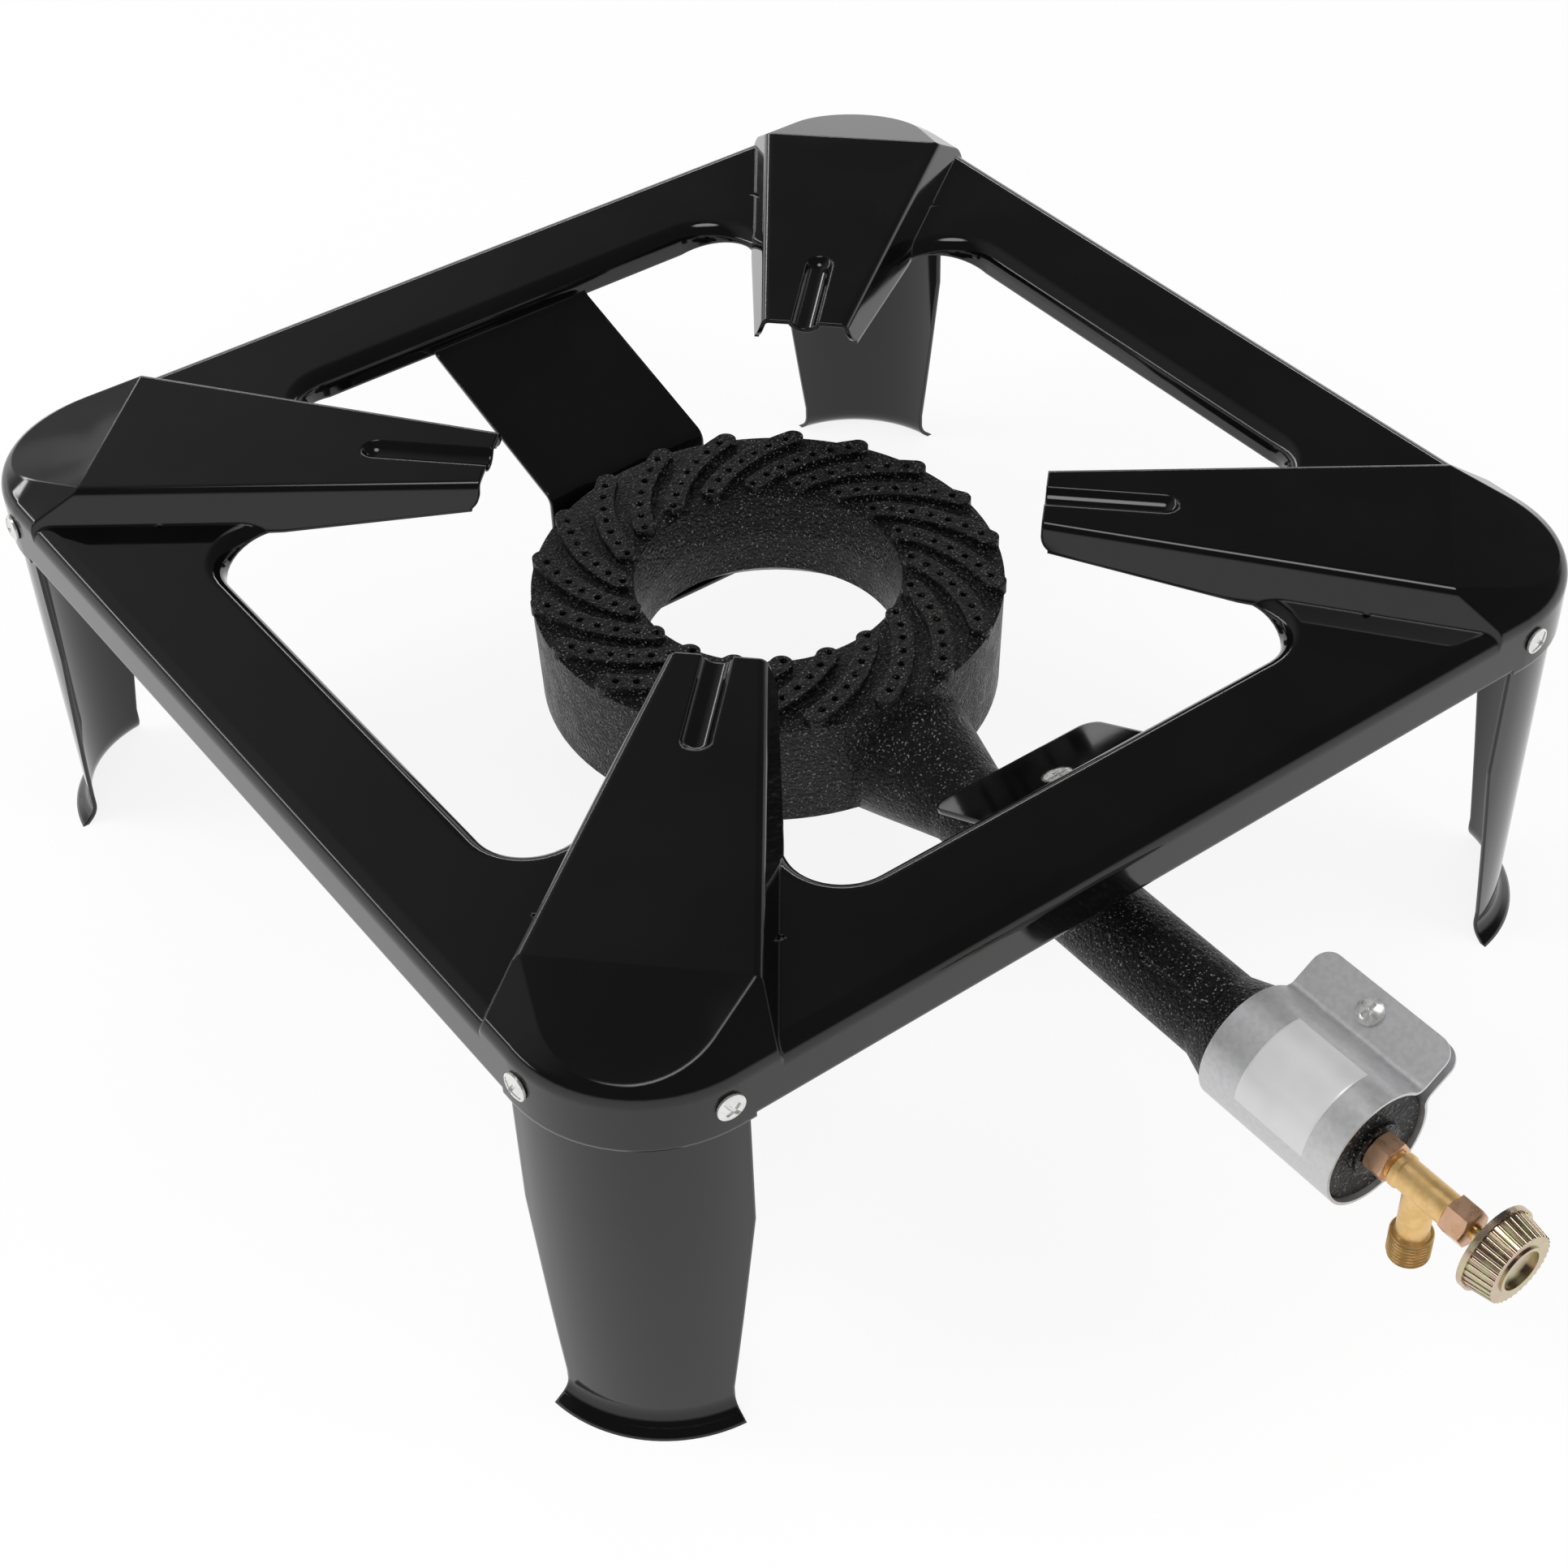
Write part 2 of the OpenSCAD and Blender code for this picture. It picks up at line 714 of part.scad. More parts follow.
// The curled edge under one side
module skirt_curl() {
    translate([0, curl_half, 0])
        rotate([90, 0, 0])
            linear_extrude(2 * curl_half)
                translate([half - curl_radius, skirt_z + curl_radius])
                    difference() {
                        circle(curl_radius);
                        circle(curl_radius - sheet);
                        translate([-2 * curl_radius, 0])
                            square(4 * curl_radius);
                    }
}

// Turns a drawing of depth and height into a plate across the frame
module across(width) {
    rotate([90, 0, 90])
        linear_extrude(width, center = true)
            children();
}

// Turns a drawing of depth and height into a plate that starts at X zero
module across_side(width) {
    rotate([90, 0, 90])
        linear_extrude(width)
            children();
}

// Places children on the middle plane of the front bracket, Y along it
module on_front_bracket() {
    translate([0, front_y, front_z])
        rotate([-front_slope, 0, 0])
            children();
}

// Bracket that comes down from the front rail over the tube
module front_bracket() {
    across(bracket_width)
        translate([-opening_half - sheet / 2, bracket_z])
            rotate(-90)
                strip([[0, front_bend_angle, bracket_bend]], sheet);
    on_front_bracket()
        translate([0, 0, -sheet / 2])
            linear_extrude(sheet) {
                translate([-bracket_width / 2, 0])
                    square([bracket_width, front_length - front_corner]);
                translate([-bracket_width / 2 + front_corner, 0])
                    square([bracket_width - 2 * front_corner, front_length]);
                for (side = [-1, 1])
                    translate([side * (bracket_width / 2 - front_corner), front_length - front_corner])
                        circle(front_corner);
            }
}

// Bracket that comes down from the rear rail and turns under the ring
module rear_bracket() {
    across(bracket_width)
        translate([opening_half + sheet / 2, bracket_z])
            rotate(-90)
                strip([
                    [0, -rear_bend_angle, bracket_bend], [rear_run, rear_bend_angle, rear_bend],
                    [rear_drop, -90, rear_bend], [rear_foot, 0, 0]
                ], sheet);
}

// Pan head screw, its head on the XY plane and its shank below
module pan_screw(shank) {
    rotate_extrude()
        intersection() {
            square([pan_radius, pan_height]);
            translate([0, pan_height - 2 * pan_radius])
                circle(2 * pan_radius);
        }
    translate([0, 0, -shank])
        cylinder(r = shank_radius, h = shank);
}

// Countersunk screw, its head flush with the XY plane
module sunk_screw(shank, gap) {
    depth = sunk_radius - shank_radius;
    translate([0, 0, -depth])
        cylinder(r1 = shank_radius + gap, r2 = sunk_radius + gap, h = depth);
    translate([0, 0, -shank])
        cylinder(r = shank_radius + gap, h = shank - depth / 2);
}

// Hexagon prism by its width across flats
module hexagon(flats, height) {
    cylinder(r = flats / 2 / cos(30), h = height, $fn = 6);
}

// Nut on the XY plane
module plain_nut(flats, height, bore) {
    difference() {
        hexagon(flats, height);
        translate([0, 0, -cut])
            cylinder(r = bore, h = height + 2 * cut);
    }
}

// Places children on the skirt at the first leg screw, Z pointing out
module at_corner_screw() {
    translate([corner_at, corner_at, rail_height - leg_screw_drop])
        rotate(screw_turn)
            translate([frame_corner, 0, 0])
                rotate([0, 90, 0])
                    children();
}

// Places children at each leg screw, Z pointing out of the skirt
module at_leg_screws() {
    for (k = [0 : 3])
        rotate(90 * k)
            for (m = [0, 1])
                mirror([m, -m, 0])
                    at_corner_screw()
                        children();
}

// Section of a leg, its foot flared outwards
module leg_section() {
    intersection() {
        translate([leg_radius, rail_height - leg_top])
            rotate(-90)
                strip([
                    [rail_height - leg_top - foot_height, foot_flare, foot_bend], [foot_height, 0, 0]
                ], sheet);
        square([frame_side, frame_side]);
    }
}

// One leg, in the corner towards +X and +Y
module leg() {
    low = -foot_height;
    difference() {
        translate([corner_at, corner_at, 0]) {
            rotate_extrude(angle = 90)
                leg_section();
            for (m = [0, 1])
                mirror([m, -m, 0])
                    rotate([90, 0, 0])
                        linear_extrude(corner_at - wing_edge)
                            leg_section();
        }
        for (m = [0, 1])
            mirror([m, -m, 0]) {
                translate([toe_edge, 0, 0])
                    across_side(half)
                        polygon([
                            [wing_edge - cut, low], [toe_edge, low], [toe_edge, taper_end],
                            [wing_edge, rail_height - taper_start], [wing_edge - cut, rail_height - taper_start]
                        ]);
                at_corner_screw()
                    translate([0, 0, -4 * sheet])
                        cylinder(r = hole_radius, h = 4 * sheet);
            }
    }
}

// Outer form of the cast ring
module ring_form() {
    rotate_extrude()
        polygon([
            [hole_top, ring_z], [ring_radius, ring_z], [ring_radius - ring_draft, ring_bottom + ring_chamfer],
            [ring_radius - ring_draft - ring_chamfer, ring_bottom], [underside_radius, ring_bottom],
            [hole_bottom, ring_z - hole_depth], [hole_waist, ring_z - waist_drop]
        ]);
}

// Gas chamber in the ring
module ring_chamber() {
    rotate_extrude()
        polygon([
            [hole_top + cast_wall, ring_z - cast_wall], [ring_radius - cast_wall, ring_z - cast_wall],
            [ring_radius - ring_draft - cast_wall, ring_bottom + cast_wall], [chamber_in, ring_bottom + cast_wall],
            [hole_bottom + cast_wall, chamber_low]
        ]);
}

// Places children at the middle of each rib's curve
module at_ribs() {
    for (k = [0 : rib_count - 1])
        rotate(rib_turn + 360 / rib_count * k)
            translate([rib_centre, 0, 0])
                rotate(-rib_turn)
                    children();
}

// One curved rib with rounded ends
module flame_rib() {
    translate([0, 0, ring_z - cut])
        rotate(rib_from + rib_cap)
            rotate_extrude(angle = rib_to - rib_from - 2 * rib_cap)
                translate([rib_curve - rib_width / 2, 0])
                    square([rib_width, rib_height + cut]);
    for (a = [rib_from + rib_cap, rib_to - rib_cap])
        rotate(a)
            translate([rib_curve, 0, ring_z - cut])
                cylinder(r = rib_width / 2 + rib_swell, h = rib_height + cut);
}

// Ports through one rib
module rib_ports() {
    for (k = [0 : port_count - 1])
        rotate(port_from + port_step * k)
            translate([rib_curve, 0, ring_z - 2 * cast_wall])
                cylinder(r = port_radius, h = 2 * cast_wall + 2 * rib_height);
}

// Lug under the front bracket
module front_lug() {
    difference() {
        translate([-lug_width / 2, -lug_at - lug_length / 2, axis_z])
            cube([lug_width, lug_length, flange_z - lug_clear - axis_z]);
        on_front_bracket()
            translate([-lug_width, -lug_length, -sheet / 2 - seat_gap])
                cube([2 * lug_width, 3 * lug_length, lug_length]);
        on_front_bracket()
            translate([0, front_screw_at, sheet / 2])
                sunk_screw(front_shank + shank_radius, thread_gap);
    }
}

// Tube, bell and hub as one turned form
module tube_form() {
    along_tube()
        rotate_extrude()
            polygon([
                [0, neck_from], [tube_radius, neck_from], [tube_radius, flare_from], [bell_radius, bell_from],
                [bell_radius, bell_to - bell_chamfer], [bell_radius - bell_chamfer, bell_to],
                [hub_radius, bell_to], [hub_radius, bell_to + hub_rise], [0, bell_to + hub_rise]
            ]);
}

// Inside of the tube and the bell
module tube_inside() {
    along_tube() {
        rotate_extrude()
            polygon([
                [0, neck_from - tube_bore], [tube_bore, neck_from - tube_bore], [tube_bore, flare_from],
                [bell_bore, bell_from], [bell_bore, bell_to - bell_end], [hub_radius, bell_to - bell_end],
                [hub_radius, bell_to - hub_depth], [0, bell_to - hub_depth]
            ]);
        translate([0, 0, bell_from])
            cylinder(r = barrel_radius + thread_gap, h = bell_length + hub_rise + cut);
        for (side = [0, 180])
            rotate(side)
                translate([-window_width / 2, hub_radius + bell_chamfer, bell_to - window_margin - window_length])
                    cube([window_width, bell_radius, window_length]);
    }
}

module top_frame() {
    color(black)
        at_frame()
            difference() {
                union() {
                    stamping();
                    for (k = [0 : 3])
                        rotate(90 * k)
                            skirt_curl();
                    front_bracket();
                    rear_bracket();
                }
                on_front_bracket()
                    translate([0, front_screw_at, sheet / 2])
                        sunk_screw(front_shank, hole_radius - shank_radius);
                translate([0, rear_screw_at, foot_mid - 2 * sheet])
                    cylinder(r = hole_radius, h = 4 * sheet);
            }
}

module leg_front_left() {
    color(black)
        at_frame()
            rotate(180)
                leg();
}

module leg_front_right() {
    color(black)
        at_frame()
            rotate(270)
                leg();
}

module leg_rear_left() {
    color(black)
        at_frame()
            rotate(90)
                leg();
}

module leg_rear_right() {
    color(black)
        at_frame()
            leg();
}

module leg_screws() {
    color(zinc)
        at_frame()
            at_leg_screws()
                pan_screw(leg_shank);
}

module leg_nuts() {
    color(zinc)
        at_frame()
            at_leg_screws()
                translate([0, 0, -2 * sheet - leg_gap - nut_gap - nut_height])
                    plain_nut(nut_flats, nut_height, shank_radius + thread_gap);
}

module burner_casting() {
    color(cast)
        at_frame() {
            difference() {
                union() {
                    ring_form();
                    at_ribs()
                        flame_rib();
                    intersection() {
                        along_tube()
                            translate([0, 0, neck_from])
                                cylinder(r1 = neck_radius, r2 = tube_radius, h = neck_to - neck_from);
                        translate([-half, -half, ring_bottom])
                            cube([frame_side, frame_side, ring_height]);
                    }
                    tube_form();
                    front_lug();
                }
                difference() {
                    ring_chamber();
                    translate([0, rear_screw_at, ring_bottom])
                        cylinder(r = boss_radius, h = boss_height);
                }
                tube_inside();
                translate([0, rear_screw_at, ring_bottom - cut])
                    cylinder(r = shank_radius + thread_gap, h = tap_depth + cut);
                at_ribs()
                    rib_ports();
            }
        }
}

module rear_burner_screw() {
    color(zinc)
        translate([0, frame_y + rear_screw_at, foot_mid - sheet / 2 - washer_height - 2 * seat_gap]) {
            translate([0, 0, -hex_height])
                hexagon(nut_flats, hex_height);
            cylinder(r = shank_radius, h = rear_shank);
        }
}

module rear_burner_washer() {
    color(zinc)
        translate([0, frame_y + rear_screw_at, foot_mid - sheet / 2 - washer_height - seat_gap])
            difference() {
                cylinder(r = washer_radius, h = washer_height);
                translate([0, 0, -cut])
                    cylinder(r = hole_radius, h = washer_height + 2 * cut);
            }
}

module front_burner_screw() {
    color(zinc)
        at_frame()
            on_front_bracket()
                translate([0, front_screw_at, sheet / 2])
                    sunk_screw(front_shank, 0);
}

module air_shutter() {
    color(zinc)
        along_axis(bell_from)
            rotate(ear_angle)
                difference() {
                    linear_extrude(band_length)
                        for (side = [0, 1])
                            mirror([0, side])
                                translate([-band_mid, 0])
                                    rotate(90)
                                        strip([
                                            [0, ear_start_angle - 180, band_mid],
                                            [ear_root, 90 - ear_start_angle, ear_bend],
                                            [ear_reach - ear_start, 0, 0]
                                        ], band_sheet);
                    for (end = [0, 1])
                        translate([ear_reach - ear_corner, 0, end * band_length])
                            mirror([0, 0, end])
                                difference() {
                                    translate([0, -half / 2, -cut])
                                        cube([2 * ear_corner, half, ear_corner + cut]);
                                    translate([0, 0, ear_corner])
                                        rotate([90, 0, 0])
                                            cylinder(r = ear_corner, h = 2 * half, center = true);
                                }
                    translate([clamp_radius, 0, clamp_at])
                        rotate([90, 0, 0])
                            cylinder(r = hole_radius, h = ear_reach, center = true);
                }
}

// Places children at the clamp screw, Z pointing out of the upper ear
module at_clamp() {
    along_axis(bell_from)
        rotate(ear_angle)
            translate([clamp_radius, 0, clamp_at])
                rotate([-90, 0, 0])
                    children();
}

module shutter_screw() {
    color(zinc)
        at_clamp()
            translate([0, 0, ear_half_gap + band_sheet / 2 + seat_gap])
                pan_screw(clamp_shank);
}

module shutter_nut() {
    color(zinc)
        at_clamp()
            translate([0, 0, -ear_half_gap - band_sheet / 2 - seat_gap - nut_height])
                plain_nut(nut_flats, nut_height, shank_radius + thread_gap);
}

module gas_jet() {
    color(brass)
        along_axis(lock_at - barrel_inner + lock_height - seat_gap)
            difference() {
                union() {
                    translate([0, 0, -jet_length])
                        cylinder(r = jet_radius, h = jet_length);
                    cylinder(r = outlet_bore - thread_gap, h = jet_stub);
                }
                translate([0, 0, -jet_length - cut])
                    cylinder(r = jet_orifice, h = jet_length + jet_stub + 2 * cut);
            }
}

module lock_nut() {
    color(copper)
        along_axis(lock_at + seat_gap)
            plain_nut(lock_flats, lock_height - seat_gap, barrel_radius + thread_gap);
}

module valve_body() {
    inner = lock_at + lock_height - barrel_inner;
    color(brass)
        difference() {
            union() {
                along_axis(0)
                    rotate_extrude()
                        polygon([
                            [0, inner], [barrel_radius, inner], [barrel_radius, body_at], [collar_radius, body_at],
                            [collar_radius, body_at + collar_length], [body_radius, body_at + collar_length],
                            [body_radius, stem_at], [stem_thread, stem_at], [stem_thread, stem_at + stem_length],
                            [0, stem_at + stem_length]
                        ]);
                translate([0, frame_y - body_at - inlet_at, axis_z]) {
                    translate([0, 0, -inlet_drop])
                        cylinder(r = inlet_neck, h = inlet_drop);
                    translate([0, 0, -inlet_drop - inlet_thread])
                        cylinder(r = inlet_radius, h = inlet_thread);
                }
            }
            along_axis(0)
                rotate_extrude()
                    polygon([
                        [0, inner - cut], [outlet_bore, inner - cut], [outlet_bore, body_at + seat_at],
                        [chamber_radius, body_at + seat_at + chamber_radius - outlet_bore],
                        [chamber_radius, stem_at + stem_length + cut], [0, stem_at + stem_length + cut]
                    ]);
            translate([0, frame_y - body_at - inlet_at, axis_z - inlet_drop - inlet_thread - cut])
                cylinder(r = inlet_bore, h = inlet_drop + inlet_thread + cut);
        }
}

module gland_packing() {
    color([0.9, 0.9, 0.86])
        along_axis(stem_at + seat_gap)
            difference() {
                cylinder(r = chamber_radius - thread_gap, h = stem_length - 2 * seat_gap);
                translate([0, 0, -cut])
                    cylinder(r = spindle_radius + thread_gap, h = stem_length + cut);
            }
}

module gland_nut() {
    color(copper)
        along_axis(stem_at + seat_gap)
            difference() {
                hexagon(gland_flats, gland_height - seat_gap);
                translate([0, 0, -cut])
                    cylinder(r = stem_thread + thread_gap, h = stem_length + cut);
                cylinder(r = spindle_radius + thread_gap, h = gland_height + cut);
            }
}

module spindle() {
    color(brass)
        along_axis(body_at + seat_at + seat_gap) {
            cylinder(r1 = spindle_tip, r2 = spindle_radius, h = spindle_point);
            translate([0, 0, spindle_point])
                cylinder(r = spindle_radius, h = knob_at + spindle_grip - body_at - seat_at - spindle_point - seat_gap);
        }
}

module control_knob() {
    tilt = atan((knob_base - knob_face) / (knob_length - knob_flange));
    color(gold)
        along_axis(knob_at)
            difference() {
                rotate_extrude()
                    polygon([
                        [0, 0], [knob_radius, 0], [knob_radius, knob_flange], [knob_base, knob_flange],
                        [knob_face, knob_length], [recess_radius + rim_width, knob_length],
                        [recess_radius + rim_width, knob_length + rim_height],
                        [recess_radius, knob_length + rim_height], [recess_radius, knob_length - recess_depth],
                        [0, knob_length - recess_depth]
                    ]);
                rotate_extrude()
                    polygon([
                        [knob_hub, -cut], [knob_base - knob_wall, -cut],
                        [knob_face - knob_wall, knob_length - recess_depth - knob_wall],
                        [knob_hub, knob_length - recess_depth - knob_wall]
                    ]);
                translate([0, 0, -cut])
                    cylinder(r = spindle_radius + thread_gap, h = spindle_grip + cut + seat_gap);
                for (k = [0 : flute_count - 1])
                    rotate(360 / flute_count * k)
                        translate([knob_base + flute_radius / 3, 0, knob_flange])
                            rotate([0, -tilt, 0])
                                cylinder(r = flute_radius, h = knob_length);
            }
}

top_frame();
leg_front_left();
leg_front_right();
leg_rear_left();
leg_rear_right();
leg_screws();
leg_nuts();
burner_casting();
rear_burner_screw();
rear_burner_washer();
front_burner_screw();
air_shutter();
shutter_screw();
shutter_nut();
gas_jet();
lock_nut();
valve_body();
gland_packing();
gland_nut();
spindle();
control_knob();
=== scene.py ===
"""Dresses the stock pot range: finishes, studio, threads, nuts, screw recesses and the tube's patches."""

import logging
import math
from dataclasses import dataclass, field
from enum import Enum

import bmesh
import bpy
from mathutils import Matrix, Vector
from mathutils.geometry import delaunay_2d_cdt

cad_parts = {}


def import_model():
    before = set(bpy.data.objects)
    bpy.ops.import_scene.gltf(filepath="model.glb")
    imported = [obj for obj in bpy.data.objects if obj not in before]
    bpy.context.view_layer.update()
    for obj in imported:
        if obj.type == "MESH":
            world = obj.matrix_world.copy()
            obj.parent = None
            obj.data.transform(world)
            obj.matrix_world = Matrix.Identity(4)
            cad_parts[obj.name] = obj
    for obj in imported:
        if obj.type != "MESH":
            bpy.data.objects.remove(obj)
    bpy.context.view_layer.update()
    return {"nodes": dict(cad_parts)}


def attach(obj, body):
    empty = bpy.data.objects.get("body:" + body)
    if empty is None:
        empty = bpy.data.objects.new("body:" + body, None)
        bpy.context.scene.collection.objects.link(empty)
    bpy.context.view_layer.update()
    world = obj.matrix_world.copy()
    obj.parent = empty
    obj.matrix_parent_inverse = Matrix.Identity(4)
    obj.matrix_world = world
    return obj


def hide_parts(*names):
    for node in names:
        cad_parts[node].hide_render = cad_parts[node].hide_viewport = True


Triple = tuple[float, float, float]
Outline = list[tuple[float, float]]
Socket = bpy.types.NodeSocket

LOG = logging.getLogger("stock_pot_range")
# Metres in a millimetre
MM = 0.001
# Place of the burner's axis along Y in millimetres
FRAME_Y = 71.8975
# Height of the tube's and the valve's axis in millimetres
AXIS_Z = 93.2


class GroupName(Enum):
    """Names of the shader groups that several finishes share."""

    GRAIN = "surface grain"
    # Painted highlights: small bright glints laid into the base colour
    PAINTED_GLINTS = "painted highlight glints"


class MixKind(Enum):
    """What a mix node blends: its type, the places of its two inputs and of its result."""

    NUMBER = ("FLOAT", 2, 3, 0)
    COLOUR = ("RGBA", 6, 7, 2)


def turns(steps: int) -> list[float]:
    """Returns the angles of evenly spaced points on a circle."""
    return [math.tau * i / steps for i in range(steps)]


@dataclass
class NodeBench:
    """Adds and links shader nodes in one tree."""

    tree: bpy.types.NodeTree

    def add(self, kind: str, **settings: object) -> bpy.types.Node:
        """Makes a node.

        Args:
            kind: The node's type name.
            settings: Attributes to set on it.

        Returns:
            The new node.
        """
        node = self.tree.nodes.new(kind)
        for key, value in settings.items():
            setattr(node, key, value)
        return node

    def find(self, kind: str) -> bpy.types.Node:
        """Returns the tree's first node of a type."""
        return next(n for n in self.tree.nodes if n.type == kind)

    def link(self, source: Socket, target: Socket) -> None:
        """Joins two sockets."""
        self.tree.links.new(source, target)

    def feed(self, target: Socket, value: Socket | float | tuple[float, ...]) -> None:
        """Links a socket to another one, or sets it to a plain value.

        Args:
            target: The input to feed.
            value: A socket to link, or a value to set.
        """
        if isinstance(value, bpy.types.NodeSocket):
            self.link(value, target)
        else:
            target.default_value = value

    def group(self, tree: bpy.types.NodeTree, **inputs: float) -> bpy.types.Node:
        """Places a shader group.

        Args:
            tree: The group's tree.
            inputs: Its inputs, with an underscore for each space in a name.

        Returns:
            The group's node.
        """
        node = self.add("ShaderNodeGroup")
        node.node_tree = tree
        for key, value in inputs.items():
            node.inputs[key.replace("_", " ")].default_value = value
        return node

    def noise(self, vector: Socket, scale: Socket, detail: float) -> Socket:
        """Adds a noise texture.

        Args:
            vector: The point to sample at, in metres.
            scale: Cells per metre.
            detail: Octaves.

        Returns:
            The noise value.
        """
        node = self.add("ShaderNodeTexNoise")
        node.inputs["Detail"].default_value = detail
        self.link(vector, node.inputs["Vector"])
        self.link(scale, node.inputs["Scale"])
        return node.outputs["Fac"]

    def span(
        self, value: Socket, low: Socket | float, high: Socket | float,
        to_low: float = 0.0, to_high: float = 1.0,
    ) -> Socket:
        """Maps a value smoothly from one span to another and clamps it.

        Args:
            value: The socket to map.
            low: Where the span starts.
            high: Where it ends.
            to_low: The result at its start.
            to_high: The result at its end.

        Returns:
            The mapped value.
        """
        node = self.add("ShaderNodeMapRange", interpolation_type="SMOOTHSTEP")
        self.link(value, node.inputs["Value"])
        for key, part in (("From Min", low), ("From Max", high), ("To Min", to_low), ("To Max", to_high)):
            self.feed(node.inputs[key], part)
        return node.outputs["Result"]

    def maths(self, operation: str, first: Socket, second: Socket | float = 0.0) -> Socket:
        """Adds a maths node.

        Args:
            operation: What it does, in Blender's own word.
            first: Its first value.
            second: Its second value, which some operations leave out.

        Returns:
            The result.
        """
        node = self.add("ShaderNodeMath", operation=operation)
        self.link(first, node.inputs[0])
        self.feed(node.inputs[1], second)
        return node.outputs[0]

    def mix(
        self, kind: MixKind, share: Socket, low: Socket | float | Triple, high: Socket | float | Triple
    ) -> Socket:
        """Blends two values or colours.

        Args:
            kind: Whether numbers or colours are blended.
            share: How much of the second one shows.
            low: The first one.
            high: The second one.

        Returns:
            The blend.
        """
        data_type, first, second, result = kind.value
        node = self.add("ShaderNodeMix", data_type=data_type)
        self.link(share, node.inputs[0])
        for place, part in ((first, low), (second, high)):
            self.feed(node.inputs[place], (*part, 1) if isinstance(part, tuple) else part)
        return node.outputs[result]


@dataclass(frozen=True)
class SharedGroups:
    """Builds the shader groups once and hands them out."""

    fine_detail: float = 3.0
    broad_detail: float = 2.0
    # Octaves of the noise for the painted highlight glints
    painted_glint_detail: float = 1.0
    mask_span: tuple[float, float] = (0.35, 0.65)

    def begin(
        self, name: GroupName, inputs: dict[str, float], outputs: tuple[str, ...]
    ) -> tuple[NodeBench, bpy.types.Node, bpy.types.Node]:
        """Starts a group.

        Args:
            name: The group's name.
            inputs: Its inputs' names and first values.
            outputs: Its outputs' names.

        Returns:
            A bench for its tree, its input node and its output node.
        """
        tree = bpy.data.node_groups.new(name.value, "ShaderNodeTree")
        for key, value in inputs.items():
            socket = tree.interface.new_socket(key, in_out="INPUT", socket_type="NodeSocketFloat")
            socket.default_value = value
        for key in outputs:
            tree.interface.new_socket(key, in_out="OUTPUT", socket_type="NodeSocketFloat")
        bench = NodeBench(tree)
        return bench, bench.add("NodeGroupInput"), bench.add("NodeGroupOutput")

    def grain(self) -> bpy.types.NodeTree:
        """Finds or makes the group that gives a height and a mask of surface grain.

        Returns:
            The group's tree, made on first use.
        """
        found = bpy.data.node_groups.get(GroupName.GRAIN.value)
        if found:
            return found
        inputs = {"Fine Scale": 900.0, "Broad Scale": 60.0, "Broad Share": 0.3}
        bench, start, end = self.begin(GroupName.GRAIN, inputs, ("Height", "Mask"))
        place = bench.add("ShaderNodeTexCoord").outputs["Object"]
        fine = bench.noise(place, start.outputs["Fine Scale"], self.fine_detail)
        broad = bench.noise(place, start.outputs["Broad Scale"], self.broad_detail)
        height = bench.mix(MixKind.NUMBER, start.outputs["Broad Share"], fine, broad)
        bench.link(height, end.inputs["Height"])
        bench.link(bench.span(broad, *self.mask_span), end.inputs["Mask"])
        return bench.tree

    def painted_glints(self) -> bpy.types.NodeTree:
        """Finds or makes the group that gives a mask of painted highlights: small bright glints laid into
        the base colour.

        Returns:
            The group's tree, made on first use.
        """
        found = bpy.data.node_groups.get(GroupName.PAINTED_GLINTS.value)
        if found:
            return found
        inputs = {"Scale": 1000.0, "Low": 0.64, "High": 0.7}
        bench, start, end = self.begin(GroupName.PAINTED_GLINTS, inputs, ("Mask",))
        place = bench.add("ShaderNodeTexCoord").outputs["Object"]
        noise = bench.noise(place, start.outputs["Scale"], self.painted_glint_detail)
        mask = bench.span(noise, start.outputs["Low"], start.outputs["High"])
        bench.link(mask, end.inputs["Mask"])
        return bench.tree


